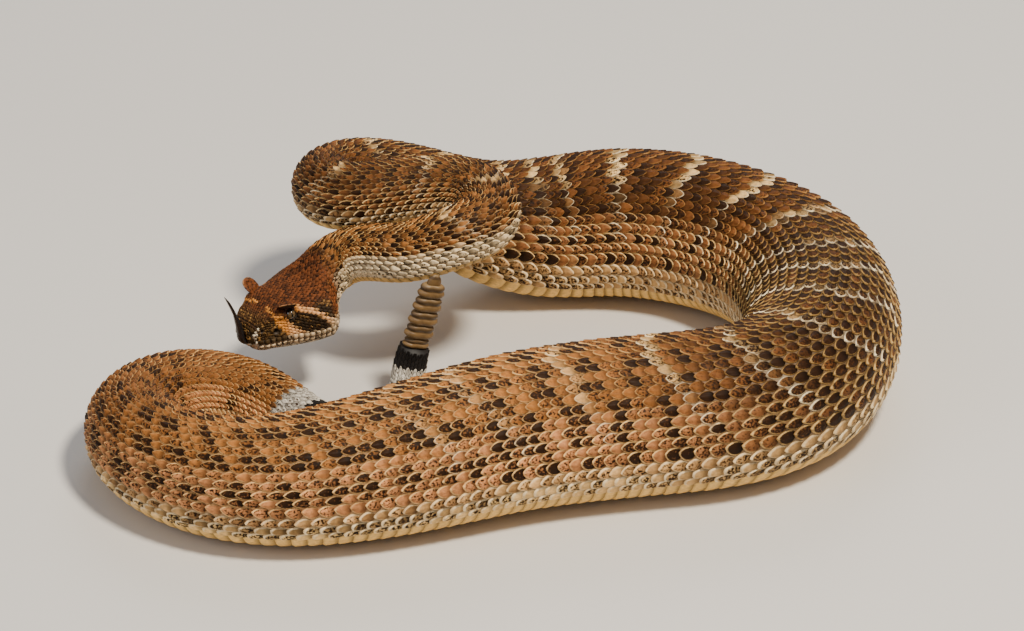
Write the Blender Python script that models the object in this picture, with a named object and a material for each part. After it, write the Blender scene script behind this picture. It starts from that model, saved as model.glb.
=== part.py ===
import math

import bmesh
import bpy
import numpy as np
from mathutils import Matrix, Vector

# Driving dimensions, in metres unless a line says otherwise
MM = 0.001
GAP = 0.0003
SIDES = 22
SCUTE_EDGE = 0.0007
SCUTE_RAISE = 0.0007
BELLY_HALF_ANGLE = 62.0
BODY_WIDTH = 1.02
BODY_BACK = 0.98
BODY_BELLY = 0.99
BELLY_FLATNESS = 0.77
RATTLE_WIDTH = 0.0065
RATTLE_DEPTH = 0.0038
EYE_RADIUS = 0.0023
TONGUE_THICKNESS = 0.0010
TONGUE_WIDENING = 1.6

# Middle line from the head's back to the rattle: x, y, height and half thickness, in millimetres
ROUTE = [
    (-70.3, 28.7, 47.5, 11.6),
    (-65.0, 31.3, 50.1, 11.6),
    (-57.6, 30.9, 53.1, 11.8),
    (-48.8, 27.0, 55.7, 12.1),
    (-39.5, 22.4, 58.3, 12.5),
    (-28.5, 21.1, 61.7, 12.9),
    (-18.0, 22.5, 65.4, 13.1),
    (-7.6, 28.4, 67.4, 13.2),
    (-3.2, 39.2, 69.2, 13.2),
    (-7.6, 50.2, 70.4, 13.3),
    (-18.0, 55.3, 70.9, 13.4),
    (-35.0, 55.0, 70.4, 13.6),
    (-53.0, 54.6, 68.0, 14.1),
    (-65.6, 59.5, 65.0, 14.6),
    (-71.4, 72.2, 62.6, 15.0),
    (-66.2, 84.2, 60.4, 15.4),
    (-53.0, 90.2, 57.2, 16.4),
    (-36.0, 90.2, 51.0, 19.3),
    (-18.0, 89.4, 41.8, 23.5),
    (-0.5, 90.7, 34.5, 27.0),
    (22.7, 96.2, 29.6, 30.0),
    (48.4, 98.3, 30.5, 31.3),
    (74.0, 95.0, 30.5, 31.9),
    (99.3, 83.6, 30.5, 32.0),
    (122.0, 61.5, 30.5, 32.0),
    (134.0, 29.4, 30.5, 32.0),
    (133.4, -6.7, 30.5, 32.0),
    (119.8, -37.2, 30.5, 32.0),
    (94.8, -54.2, 30.5, 32.2),
    (66.3, -60.8, 30.5, 32.3),
    (37.9, -66.2, 30.5, 32.2),
    (5.6, -75.7, 30.5, 31.6),
    (-26.4, -88.2, 29.0, 30.4),
    (-58.2, -99.2, 27.1, 28.4),
    (-87.6, -102.7, 25.0, 26.2),
    (-116.6, -94.6, 23.1, 24.2),
    (-139.0, -74.3, 21.0, 22.0),
    (-147.0, -49.1, 19.1, 20.0),
    (-138.6, -27.2, 17.4, 18.2),
    (-120.0, -16.6, 15.6, 16.3),
    (-99.6, -20.0, 13.7, 14.4),
    (-83.6, -32.6, 11.9, 12.5),
    (-70.5, -41.0, 10.5, 11.0),
    (-57.0, -38.5, 9.2, 9.6),
    (-47.0, -29.0, 8.0, 8.4),
    (-40.5, -17.5, 7.6, 7.7),
    (-37.4, -7.0, 10.6, 7.1),
    (-36.0, -1.4, 18.0, 6.8),
    (-34.0, -0.2, 26.0, 6.2),
]

# Lengths of the body, each a whole number of belly scutes
LENGTHS = [
    ("neck", 5),
    ("body_01", 3),
    ("body_02", 4),
    ("body_03", 3),
    ("body_04", 3),
    ("body_05", 4),
    ("body_06", 5),
    ("body_07", 5),
    ("body_08", 5),
    ("body_09", 5),
    ("body_10", 5),
    ("body_11", 5),
    ("body_12", 6),
    ("body_13", 6),
    ("body_14", 6),
    ("body_15", 5),
    ("body_16", 4),
    ("body_17", 4),
    ("tail_1", 5),
    ("tail_2", 4),
]
CURL_START = 0.9

# Head: distance behind the snout, half width, crown and chin heights, in millimetres
HEAD_AXIS = Vector((-0.74, -0.66, -0.13)).normalized()
HEAD_BACK = Vector((-0.0691, 0.0257, 0.0411))
HEAD_LENGTH = 0.047
HEAD_SHAPE = [
    (0.0, 5.2, 3.6, -5.4),
    (1.3, 7.4, 5.8, -7.2),
    (3.6, 9.0, 7.6, -8.4),
    (8.0, 10.8, 9.0, -9.4),
    (13.0, 12.5, 9.9, -11.0),
    (18.5, 14.6, 10.1, -12.4),
    (25.0, 17.3, 10.0, -13.6),
    (31.0, 19.2, 9.9, -14.2),
    (35.5, 19.6, 10.1, -14.2),
    (40.0, 17.8, 10.7, -13.6),
    (44.0, 14.8, 11.5, -12.8),
    (47.0, 12.65, 12.15, -12.3),
]
# Half sections from crown to chin, as shares of the half width and of the crown or chin height
SNOUT_SECTION = [
    (0.0, 1.0), (0.36, 0.99), (0.68, 0.95), (0.86, 0.8), (0.92, 0.42), (0.95, 0.05),
    (1.0, -0.22), (0.99, -0.42), (0.9, -0.64), (0.72, -0.86), (0.4, -0.98), (0.0, -1.0),
]
CHEEK_SECTION = [
    (0.0, 1.0), (0.3, 0.98), (0.58, 0.9), (0.8, 0.7), (0.94, 0.38), (1.0, 0.04),
    (1.0, -0.24), (0.96, -0.48), (0.87, -0.72), (0.67, -0.9), (0.37, -0.99), (0.0, -1.0),
]
NECK_BLEND = (32.0, 46.9)
LIP_PLATES = 14
LIP_GROOVE = 0.4
MOUTH_LINE = [(-4.0, -2.6), (3.0, -3.2), (13.0, -4.4), (23.0, -6.4), (31.0, -6.9), (37.5, -5.0)]
MOUTH_CUT_DEPTH = -20.0
MOUTH_CUT_WIDTH = 26.0
EYE_PLACE = (16.2, 11.2, 6.7)
BROW_PLACE = (15.3, 11.3, 11.2)
BROW_SIZE = (4.5, 3.7, 1.25)
BROW_TILT = 0.72
BROW_TURN = 0.4
BROW_PITCH = 0.16
PIT_PLACE = (8.4, 10.6, 1.4)
PIT_RADIUS = 0.0012
NOSTRIL_PLACE = (2.9, 8.2, 3.2)
NOSTRIL_RADIUS = 0.0008

# Tongue: forward of the snout, sideways for the tines, and above the mouth, in millimetres
TONGUE_STEM = [(-6.0, 0.0), (0.6, 0.0), (2.0, 1.7), (2.2, 5.5), (2.6, 10.0), (3.4, 14.3)]
TONGUE_TINE = [(3.2, 0.35, 13.4), (3.9, 0.7, 16.2), (4.8, 1.2, 19.2), (5.8, 1.6, 22.2), (7.1, 2.0, 25.2)]
TONGUE_TWIST = (0.55, 0.6)
TONGUE_HEIGHT = -3.0
TONGUE_HOLE = (7.0, -3.0)
TONGUE_CLEARANCE = 0.00042

# Rattle: each segment's height in millimetres and its share of the full width, button last
RATTLE_FACING = Vector((0.96, 0.28, 0.0))
RATTLE_SEGMENTS = [(4.6, 0.9), (6.4, 1.0), (6.4, 1.0), (6.5, 0.97), (6.3, 0.9), (4.4, 0.52)]
BUTTON_SIZE = 0.9
BUTTON_ROUNDING = 0.95
RATTLE_SIDES = 14
RATTLE_GROOVE = 0.1
RATTLE_LOBES = [(0.0, 0.72), (0.16, 0.93), (0.36, 1.0), (0.56, 0.86), (0.74, 0.88), (0.9, 0.8), (1.0, 0.66)]


def clear_scene():
    for item in list(bpy.data.objects):
        bpy.data.objects.remove(item)


def make_material(name, colour, roughness):
    material = bpy.data.materials.new(name)
    material.use_nodes = True
    shader = material.node_tree.nodes["Principled BSDF"]
    shader.inputs["Base Color"].default_value = (*colour, 1.0)
    shader.inputs["Roughness"].default_value = roughness
    shader.inputs["Metallic"].default_value = 0.0
    return material


def spline(points, step):
    # Natural cubic spline through the points, read at even steps along its length
    knots = np.array(points, float)
    chords = np.linalg.norm(np.diff(knots[:, :3], axis=0), axis=1)
    t = np.concatenate([[0.0], np.cumsum(np.sqrt(chords))])
    h = np.diff(t)
    count = len(knots)
    system = np.eye(count)
    right = np.zeros_like(knots)
    for i in range(1, count - 1):
        system[i, i - 1] = h[i - 1]
        system[i, i] = 2.0 * (h[i - 1] + h[i])
        system[i, i + 1] = h[i]
        slope = (knots[i + 1] - knots[i]) / h[i] - (knots[i] - knots[i - 1]) / h[i - 1]
        right[i] = 6.0 * slope
    bend = np.linalg.solve(system, right)
    s = np.linspace(0.0, t[-1], 40 * count)
    k = np.clip(np.searchsorted(t, s, side="right") - 1, 0, count - 2)
    a = ((t[k + 1] - s) / h[k])[:, None]
    b = ((s - t[k]) / h[k])[:, None]
    curve = a * knots[k] + b * knots[k + 1]
    curve += ((a**3 - a) * bend[k] + (b**3 - b) * bend[k + 1]) * h[k][:, None] ** 2 / 6.0
    arc = np.concatenate([[0.0], np.cumsum(np.linalg.norm(np.diff(curve[:, :3], axis=0), axis=1))])
    even = np.linspace(0.0, arc[-1], int(arc[-1] / step) + 1)
    return even, np.column_stack([np.interp(even, arc, curve[:, j]) for j in range(4)])


class BodyLine:
    # The body's middle line, with a frame of tangent, back and side at any distance along it
    def __init__(self):
        arc, curve = spline([[v * MM for v in row] for row in ROUTE], 0.0005)
        self.arc = arc
        self.curve = curve
        self.length = arc[-1]
        tangents = np.gradient(curve[:, :3], axis=0)
        tangents /= np.linalg.norm(tangents, axis=1)[:, None]
        self.tangents = tangents
        backs = np.zeros_like(tangents)
        up = np.array([0.0, 0.0, 1.0])
        for i, tangent in enumerate(tangents):
            if arc[i] > CURL_START * self.length:
                up = backs[i - 1]
            across = up - tangent * np.dot(up, tangent)
            backs[i] = across / np.linalg.norm(across)
        self.backs = backs

    def at(self, distance):
        def read(rows):
            return [float(np.interp(distance, self.arc, rows[:, j])) for j in range(rows.shape[1])]

        x, y, z, radius = read(self.curve)
        tangent = Vector(read(self.tangents)).normalized()
        back = Vector(read(self.backs)).normalized()
        side = tangent.cross(back).normalized()
        return Vector((x, y, z)), tangent, back, side, radius


def body_section(radius, raised):
    # Ring of (side, back) offsets: rounded back, flatter belly, the belly scute's edge raised
    ring = []
    for k in range(SIDES):
        angle = 2.0 * math.pi * k / SIDES
        side = BODY_WIDTH * radius * math.sin(angle)
        back = math.cos(angle)
        if back > 0:
            back *= BODY_BACK * radius
        else:
            back = -BODY_BELLY * radius * abs(back) ** BELLY_FLATNESS
        from_belly = abs(math.degrees(angle) - 180.0)
        lift = raised * max(0.0, 1.0 - (from_belly / BELLY_HALF_ANGLE) ** 4)
        reach = math.hypot(side, back)
        ring.append((side * (1.0 + lift / reach), back * (1.0 + lift / reach)))
    return ring


def body_ring(line, distance, raised):
    centre, _, back, side, radius = line.at(distance)
    points = []
    for across, above in body_section(radius, raised):
        point = centre + side * across + back * above
        point.z = max(point.z, 0.0)
        points.append(point)
    return points


def loft(name, rings, material):
    # Closed body through rings of equal count, each end closed by a fan round its middle
    mesh = bpy.data.meshes.new(name)
    form = bmesh.new()
    rows = [[form.verts.new(point) for point in ring] for ring in rings]
    count = len(rows[0])
    for lower, upper in zip(rows, rows[1:]):
        for k in range(count):
            form.faces.new((lower[k], lower[(k + 1) % count], upper[(k + 1) % count], upper[k]))
    for row in (rows[0], rows[-1]):
        middle = sum((vert.co for vert in row), Vector()) / count
        hub = form.verts.new(middle)
        for k in range(count):
            form.faces.new((hub, row[k], row[(k + 1) % count]))
    bmesh.ops.recalc_face_normals(form, faces=form.faces)
    form.to_mesh(mesh)
    form.free()
    mesh.shade_smooth()
    mesh.materials.append(material)
    item = bpy.data.objects.new(name, mesh)
    bpy.context.collection.objects.link(item)
    return item


def make_body(line, materials):
    scutes = sum(count for _, count in LENGTHS)
    pitch = line.length / scutes
    start = 0
    for name, count in LENGTHS:
        rings = []
        for k in range(start, start + count):
            low = k * pitch + (GAP / 2 if k == start else SCUTE_EDGE)
            high = (k + 1) * pitch - (GAP / 2 if k == start + count - 1 else 0.0)
            rings.append(body_ring(line, low, 0.0))
            rings.append(body_ring(line, high, SCUTE_RAISE))
        loft(name, rings, materials["tail" if name.startswith("tail") else "body"])
        start += count


def head_frame():
    # Forward, left and up of the head
    forward = HEAD_AXIS
    up = (Vector((0.0, 0.0, 1.0)) - forward * forward.z).normalized()
    return forward, up.cross(forward).normalized(), up


def head_point(behind, left, above):
    # A place on the head from its distance behind the snout, sideways and above, in millimetres
    forward, leftward, up = head_frame()
    snout = HEAD_BACK + forward * HEAD_LENGTH
    return snout - forward * behind * MM + leftward * left * MM + up * above * MM


def head_size(behind):
    shape = np.array(HEAD_SHAPE)
    return [float(np.interp(behind, shape[:, 0], shape[:, j])) for j in (1, 2, 3)]


def smooth_step(value, low, high):
    share = min(1.0, max(0.0, (value - low) / (high - low)))
    return share * share * (3.0 - 2.0 * share)


def head_ring(line, behind, groove):
    # Ring round the head that turns into the neck's first ring toward the back
    width, crown, chin = head_size(behind)
    cheek = smooth_step(behind, 8.0, 31.0)
    neck = smooth_step(behind, *NECK_BLEND)
    tangent = line.at(0.0)[1]
    points = []
    for k, joint in enumerate(body_ring(line, 0.0, 0.0)):
        half = k if k <= SIDES // 2 else SIDES - k
        sign = 1.0 if k <= SIDES // 2 else -1.0
        snout_x, snout_y = SNOUT_SECTION[half]
        cheek_x, cheek_y = CHEEK_SECTION[half]
        x = (snout_x + (cheek_x - snout_x) * cheek) * width
        y = snout_y + (cheek_y - snout_y) * cheek
        y *= crown if y > 0 else -chin
        if half in (6, 7, 8):
            x -= groove
        point = head_point(behind, x * sign, y)
        points.append(point.lerp(joint - tangent * GAP / 2, neck))
    return points


def sphere(name, centre, radius, detail, material):
    mesh = bpy.data.meshes.new(name)
    form = bmesh.new()
    bmesh.ops.create_uvsphere(form, u_segments=detail, v_segments=detail // 2, radius=radius)
    bmesh.ops.translate(form, verts=form.verts, vec=centre)
    form.to_mesh(mesh)
    form.free()
    mesh.shade_smooth()
    mesh.materials.append(material)
    item = bpy.data.objects.new(name, mesh)
    bpy.context.collection.objects.link(item)
    return item


def brow_plate(sign, material):
    # A flat oval over the eye, its outer edge and its front end raised
    behind, left, above = BROW_PLACE
    plate = sphere("brow", Vector(), 1.0, 12, material)
    size = Matrix.Diagonal([v * MM for v in BROW_SIZE] + [1.0])
    tilt = Matrix.Rotation(sign * BROW_TILT, 4, "X")
    pitch = Matrix.Rotation(-BROW_PITCH, 4, "Y")
    turn = Matrix.Rotation(-sign * BROW_TURN, 4, "Z")
    frame = Matrix(head_frame()).transposed().to_4x4()
    place = Matrix.Translation(head_point(behind, sign * left, above))
    plate.data.transform(place @ frame @ turn @ pitch @ tilt @ size)
    return plate


def mouth_cutter(material):
    # A thin curved slab along the mouth and down behind the jaw
    half = GAP / MM / 2.0
    last = MOUTH_LINE[-1]
    upper = [(behind, above + half) for behind, above in MOUTH_LINE[:-1]]
    upper += [(last[0] + half, last[1] + half), (last[0] + half, MOUTH_CUT_DEPTH)]
    lower = [(behind, above - half) for behind, above in MOUTH_LINE[:-1]]
    lower += [(last[0] - half, last[1] - half), (last[0] - half, MOUTH_CUT_DEPTH)]
    outline = upper + lower[::-1]
    mesh = bpy.data.meshes.new("mouth_cutter")
    form = bmesh.new()
    sides = []
    for left in (-MOUTH_CUT_WIDTH, MOUTH_CUT_WIDTH):
        sides.append([form.verts.new(head_point(behind, left, above)) for behind, above in outline])
    count = len(outline)
    for k in range(count):
        after = (k + 1) % count
        form.faces.new((sides[0][k], sides[0][after], sides[1][after], sides[1][k]))
    for k in range(len(upper) - 1):
        for row in sides:
            form.faces.new((row[k], row[k + 1], row[count - 2 - k], row[count - 1 - k]))
    bmesh.ops.recalc_face_normals(form, faces=form.faces)
    form.to_mesh(mesh)
    form.free()
    mesh.materials.append(material)
    item = bpy.data.objects.new("mouth_cutter", mesh)
    bpy.context.collection.objects.link(item)
    return item


def combine(target, others, operation):
    # One Boolean on a collection of closed bodies, applied, with those bodies removed after
    group = bpy.data.collections.new("group")
    for item in others:
        bpy.context.collection.objects.unlink(item)
        group.objects.link(item)
    bpy.context.scene.collection.children.link(group)
    modifier = target.modifiers.new("combine", "BOOLEAN")
    modifier.operation = operation
    modifier.operand_type = "COLLECTION"
    modifier.collection = group
    modifier.solver = "MANIFOLD"
    graph = bpy.context.evaluated_depsgraph_get()
    result = bpy.data.meshes.new_from_object(target.evaluated_get(graph))
    target.modifiers.clear()
    target.data = result
    for item in others:
        bpy.data.objects.remove(item)
    bpy.data.collections.remove(group)


def closed_parts(mesh):
    # The mesh's separate closed bodies, largest first, each as a new mesh
    form = bmesh.new()
    form.from_mesh(mesh)
    form.verts.ensure_lookup_table()
    islands = []
    known = set()
    for vert in form.verts:
        if vert.index in known:
            continue
        known.add(vert.index)
        island = [vert]
        for current in island:
            for edge in current.link_edges:
                other = edge.other_vert(current)
                if other.index not in known:
                    known.add(other.index)
                    island.append(other)
        islands.append({current.index for current in island})
    form.free()
    islands.sort(key=len, reverse=True)
    meshes = []
    for island in islands:
        piece = bmesh.new()
        piece.from_mesh(mesh)
        others = [vert for vert in piece.verts if vert.index not in island]
        bmesh.ops.delete(piece, geom=others, context="VERTS")
        result = bpy.data.meshes.new("piece")
        piece.to_mesh(result)
        piece.free()
        meshes.append(result)
    return meshes


def make_head(line, materials):
    skin = materials["head"]
    stations = {0.0, 1.3, 39.5, 42.0, 44.5, 46.9}
    rings = []
    plate = 37.0 / LIP_PLATES
    for k in range(LIP_PLATES):
        stations.add(round((k + 0.5) * plate, 3))
    grooves = {round(2.9 + k * plate, 3) for k in range(LIP_PLATES)}
    for behind in sorted(stations | grooves):
        rings.append(head_ring(line, behind, LIP_GROOVE if behind in grooves else 0.0))
    head = loft("head", rings, skin)
    combine(head, [brow_plate(sign, skin) for sign in (1.0, -1.0)], "UNION")
    cutters = [mouth_cutter(skin)]
    for sign in (1.0, -1.0):
        for name, place, radius in (
            ("socket", EYE_PLACE, EYE_RADIUS + GAP),
            ("pit", PIT_PLACE, PIT_RADIUS),
            ("nostril", NOSTRIL_PLACE, NOSTRIL_RADIUS),
        ):
            behind, left, above = place
            spot = head_point(behind, sign * left, above)
            cutters.append(sphere(name, spot, radius, 12, skin))
    ends = [head_point(behind, 0.0, TONGUE_HEIGHT) for behind in TONGUE_HOLE]
    cutters.append(tube("tongue_hole", ends, [TONGUE_THICKNESS + TONGUE_CLEARANCE] * 2, 10, skin, TONGUE_WIDENING))
    combine(head, cutters, "DIFFERENCE")
    parts = closed_parts(head.data)
    for item, mesh in (("head", parts[0]), ("jaw", parts[1])):
        mesh.shade_smooth()
        mesh.materials.append(skin)
        if item == "head":
            head.data = mesh
        else:
            lower = bpy.data.objects.new(item, mesh)
            bpy.context.collection.objects.link(lower)


def make_eyes(materials):
    behind, left, above = EYE_PLACE
    for name, sign in (("eye_left", 1.0), ("eye_right", -1.0)):
        sphere(name, head_point(behind, sign * left, above), EYE_RADIUS, 16, materials["eye"])


def tube(name, points, radii, sides, material, width=1.0):
    # A tube of round or flattened rings along a short path that bends in one plane
    rings = []
    for k, point in enumerate(points):
        before = points[max(0, k - 1)]
        after = points[min(len(points) - 1, k + 1)]
        tangent = (after - before).normalized()
        across = tangent.cross(Vector((0.3, 0.2, 0.93))).normalized()
        over = across.cross(tangent)
        ring = []
        for j in range(sides):
            angle = 2.0 * math.pi * j / sides
            ring.append(point + (across * width * math.cos(angle) + over * math.sin(angle)) * radii[k])
        rings.append(ring)
    return loft(name, rings, material)


def tongue_point(place):
    forward, left, above = place
    return head_point(-forward, left, above + TONGUE_HEIGHT)


def make_tongue(materials):
    # A flattened stem that bends up from the mouth and parts into two tapered tines
    colour = materials["tongue"]
    thick = TONGUE_THICKNESS
    stem = [tongue_point((ahead, 0.0, above)) for ahead, above in TONGUE_STEM]
    sizes = [thick, thick, thick, thick, thick * 0.8, thick * 0.62]
    tongue = tube("tongue", stem, sizes, 8, colour, TONGUE_WIDENING)
    sizes = [thick * 0.62, thick * 0.6, thick * 0.5, thick * 0.38, thick * 0.18]
    tines = []
    for sign in (1.0, -1.0):
        path = []
        for ahead, left, above in TONGUE_TINE:
            aside = left * sign
            path.append(tongue_point((ahead + TONGUE_TWIST[0] * aside, aside, above + TONGUE_TWIST[1] * aside)))
        tines.append(tube("tine", path, sizes, 8, colour))
    combine(tongue, tines, "UNION")
    mesh = closed_parts(tongue.data)[0]
    mesh.shade_smooth()
    tongue.data = mesh


def make_rattle(line, materials):
    # Each segment is a flattened bead with a collar, a wide lobe and a smaller lobe above it
    base, axis, _, _, _ = line.at(line.length)
    across = (RATTLE_FACING - axis * axis.dot(RATTLE_FACING)).normalized()
    thickness = axis.cross(across)
    travelled = 0.0
    for number, (height, scale) in enumerate(RATTLE_SEGMENTS, 1):
        button = number == len(RATTLE_SEGMENTS)
        rings = []
        for share, size in RATTLE_LOBES:
            if button:
                size = BUTTON_SIZE * math.sqrt(1.0 - share**2 * BUTTON_ROUNDING)
            along = travelled + GAP + share * (height * MM - GAP)
            ring = []
            for k in range(RATTLE_SIDES):
                angle = 2.0 * math.pi * k / RATTLE_SIDES
                squeeze = 1.0 - RATTLE_GROOVE * math.sin(angle) ** 4
                x = math.cos(angle) * RATTLE_WIDTH * size * scale
                y = math.sin(angle) * RATTLE_DEPTH * size * scale * squeeze
                ring.append(base + axis * along + across * x + thickness * y)
            rings.append(ring)
        loft("rattle_%d" % number, rings, materials["rattle"])
        travelled += height * MM


def main():
    clear_scene()
    materials = {
        "head": make_material("head_skin", (0.2, 0.11, 0.055), 0.55),
        "body": make_material("body_skin", (0.3, 0.19, 0.11), 0.55),
        "tail": make_material("tail_skin", (0.32, 0.3, 0.27), 0.55),
        "eye": make_material("eye", (0.05, 0.035, 0.02), 0.1),
        "tongue": make_material("tongue", (0.01, 0.01, 0.012), 0.4),
        "rattle": make_material("rattle_horn", (0.2, 0.15, 0.09), 0.5),
    }
    line = BodyLine()
    make_body(line, materials)
    make_head(line, materials)
    make_eyes(materials)
    make_tongue(materials)
    make_rattle(line, materials)


main()
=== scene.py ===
import math

import bmesh
import bpy
import numpy as np
from mathutils import Matrix, Vector


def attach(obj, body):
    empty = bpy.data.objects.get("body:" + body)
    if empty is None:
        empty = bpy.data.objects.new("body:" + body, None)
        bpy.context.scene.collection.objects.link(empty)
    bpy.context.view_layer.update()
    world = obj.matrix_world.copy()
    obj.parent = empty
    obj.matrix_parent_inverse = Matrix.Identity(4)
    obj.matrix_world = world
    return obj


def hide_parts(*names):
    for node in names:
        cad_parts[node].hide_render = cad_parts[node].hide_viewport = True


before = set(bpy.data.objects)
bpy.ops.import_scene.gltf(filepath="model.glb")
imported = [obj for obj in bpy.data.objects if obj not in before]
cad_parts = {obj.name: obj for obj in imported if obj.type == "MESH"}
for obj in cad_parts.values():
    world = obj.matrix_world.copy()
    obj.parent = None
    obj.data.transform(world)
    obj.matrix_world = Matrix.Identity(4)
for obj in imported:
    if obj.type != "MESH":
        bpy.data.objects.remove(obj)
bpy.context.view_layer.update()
mm = 0.001
print("frame loaded")


# short ways to add nodes: a socket takes a link or a plain value, and most nodes give back one output

def feed(socket, value):
    if isinstance(value, bpy.types.NodeSocket):
        socket.id_data.links.new(value, socket)
    else:
        socket.default_value = value


def addNode(tree, kind, inputs=None, output=0, **values):
    item = tree.nodes.new(kind)
    for key, value in values.items():
        setattr(item, key, value)
    for key, value in (inputs or {}).items():
        feed(item.inputs[key], value)
    return item.outputs if output is None else item.outputs[output]


def treeOf(*values):
    return next(value.id_data for value in values if isinstance(value, bpy.types.NodeSocket))


def maths(operation, *values):
    return addNode(treeOf(*values), "ShaderNodeMath", dict(enumerate(values)), operation=operation)


def plus(a, b):
    return maths("ADD", a, b)


def minus(a, b):
    return maths("SUBTRACT", a, b)


def times(first, *others):
    for value in others:
        first = maths("MULTIPLY", first, value)
    return first


def vectorMaths(operation, vector, other):
    key = "Scale" if operation == "SCALE" else 1
    return addNode(vector.id_data, "ShaderNodeVectorMath", {0: vector, key: other}, operation=operation)


def split(vector):
    return addNode(vector.id_data, "ShaderNodeSeparateXYZ", {0: vector}, None)


def attribute(tree, name, output="Color"):
    return addNode(tree, "ShaderNodeAttribute", output=output, attribute_name=name)


def mixColour(share, a, b, mode="MIX"):
    values = {0: share, 6: a, 7: b}
    return addNode(treeOf(share, a, b), "ShaderNodeMix", values, 2, data_type="RGBA", blend_type=mode)


def remap(value, low, high, toLow=0.0, toHigh=1.0):
    values = dict(enumerate((value, low, high, toLow, toHigh)))
    return addNode(value.id_data, "ShaderNodeMapRange", values, interpolation_type="SMOOTHSTEP")


def noise(tree, scale, detail=3.0, vector=None):
    vector = vector or addNode(tree, "ShaderNodeTexCoord", output="Object")
    return addNode(tree, "ShaderNodeTexNoise", {"Vector": vector, "Scale": scale, "Detail": detail}, "Fac")


def addBump(shader, height, strength, distance):
    values = {"Strength": strength, "Distance": distance, "Height": height}
    feed(shader["Normal"], addNode(height.id_data, "ShaderNodeBump", values))


def newMaterial(name):
    material = bpy.data.materials.new(name)
    material.use_nodes = True
    return material, material.node_tree, material.node_tree.nodes["Principled BSDF"].inputs


# meshes: points, faces and named values

def meshObject(name, vertices, faces, material=None, smooth=True):
    mesh = bpy.data.meshes.new(name)
    mesh.from_pydata([tuple(v) for v in vertices], [], faces)
    mesh.update()
    if smooth:
        mesh.shade_smooth()
    if material:
        mesh.materials.append(material)
    item = bpy.data.objects.new(name, mesh)
    bpy.context.scene.collection.objects.link(item)
    return item


def storeValues(mesh, values):
    # a value for each point, kept as a number, a place or a colour by its width
    kinds = {1: ("FLOAT", "value"), 3: ("FLOAT_VECTOR", "vector"), 4: ("FLOAT_COLOR", "color")}
    for name, rows in values.items():
        rows = np.asarray(rows, np.float32)
        kind, key = kinds[1 if rows.ndim == 1 else rows.shape[1]]
        mesh.attributes.new(name, kind, "POINT").data.foreach_set(key, rows.ravel())


def pointsObject(name, places, values):
    # loose points with named values, the seeds of a node tree
    item = meshObject(name, places, [], smooth=False)
    storeValues(item.data, values)
    return item


def withAlpha(rows):
    return np.column_stack([np.clip(rows, 0.0, 1.0), np.ones(len(rows))])


def ringFaces(start, rings, sides, capped=True):
    # faces between rings of equal count, with both ends closed
    faces = []
    for i in range(rings - 1):
        for k in range(sides):
            a, b = start + i * sides + k, start + i * sides + (k + 1) % sides
            faces.append((a, b, b + sides, a + sides))
    if capped:
        faces.append(tuple(range(start, start + sides))[::-1])
        faces.append(tuple(range(start + (rings - 1) * sides, start + rings * sides)))
    return faces


def ballGrid(rings, sides, start=0):
    # polar and round angles of a ball with one point at each pole, and its faces
    turns = [
        (math.pi * i / rings, 2.0 * math.pi * j / sides)
        for i in range(rings + 1)
        for j in range(sides if 0 < i < rings else 1)
    ]
    faces = []
    last = start + 1 + (rings - 2) * sides
    for j in range(sides):
        k = (j + 1) % sides
        faces.append((start, start + 1 + j, start + 1 + k))
        faces.append((last + sides, last + k, last + j))
        for i in range(rings - 2):
            a, b = start + 1 + i * sides + j, start + 1 + i * sides + k
            faces.append((a, a + sides, b + sides, b))
    return turns, faces


def turnOutward(item):
    shell = bmesh.new()
    shell.from_mesh(item.data)
    bmesh.ops.recalc_face_normals(shell, faces=shell.faces)
    shell.to_mesh(item.data)
    shell.free()


def handOver(item, slot, *nodes):
    # every piece rides on the one body, and may take the place of solids
    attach(item, "root")
    if nodes:
        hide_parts(*nodes)


# camera, floor and lights

viewSettings = {
    "target": (0.00635, 0.0188, 0.030),
    "distance": 2.4,
    "elevation": 30.0,
    "lens": 202.5,
    "sensor": 36.0,
    "farthest": 20.0,
    "floorSize": 3.0,
    "floorDrop": 0.0003,
    "floorRoughness": 0.85,
    "floorPatches": 3.0,
    "floorDark": (0.6, 0.58, 0.55, 1.0),
    "floorLight": (0.66, 0.64, 0.61, 1.0),
}
lampSettings = {
    "aim": (0.0, 0.0, 0.03),
    "lamps": {
        "key": {"place": (0.55, -0.6, 1.6), "size": 0.3, "power": 50.0, "colour": (1.0, 0.90, 0.75)},
        "fill": {"place": (-1.3, -0.8, 0.9), "size": 1.2, "power": 7.0, "colour": (0.95, 0.96, 1.0)},
        "back": {"place": (0.1, 1.3, 1.1), "size": 1.0, "power": 9.0, "colour": (1.0, 0.98, 0.95)},
    },
    "sky": (0.9, 0.93, 1.0, 1.0),
    "skyStrength": 0.32,
}


def standAt(item, place, looking):
    item.location = place
    item.rotation_euler = looking.to_track_quat("-Z", "Y").to_euler()
    bpy.context.scene.collection.objects.link(item)


def addCamera():
    tilt = math.radians(viewSettings["elevation"])
    looking = Vector((0.0, math.cos(tilt), -math.sin(tilt)))
    data = bpy.data.cameras.new("camera")
    data.sensor_width = viewSettings["sensor"]
    data.lens = viewSettings["lens"]
    data.clip_end = viewSettings["farthest"]
    item = bpy.data.objects.new("camera", data)
    standAt(item, Vector(viewSettings["target"]) - looking * viewSettings["distance"], looking)
    bpy.context.scene.camera = item


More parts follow.
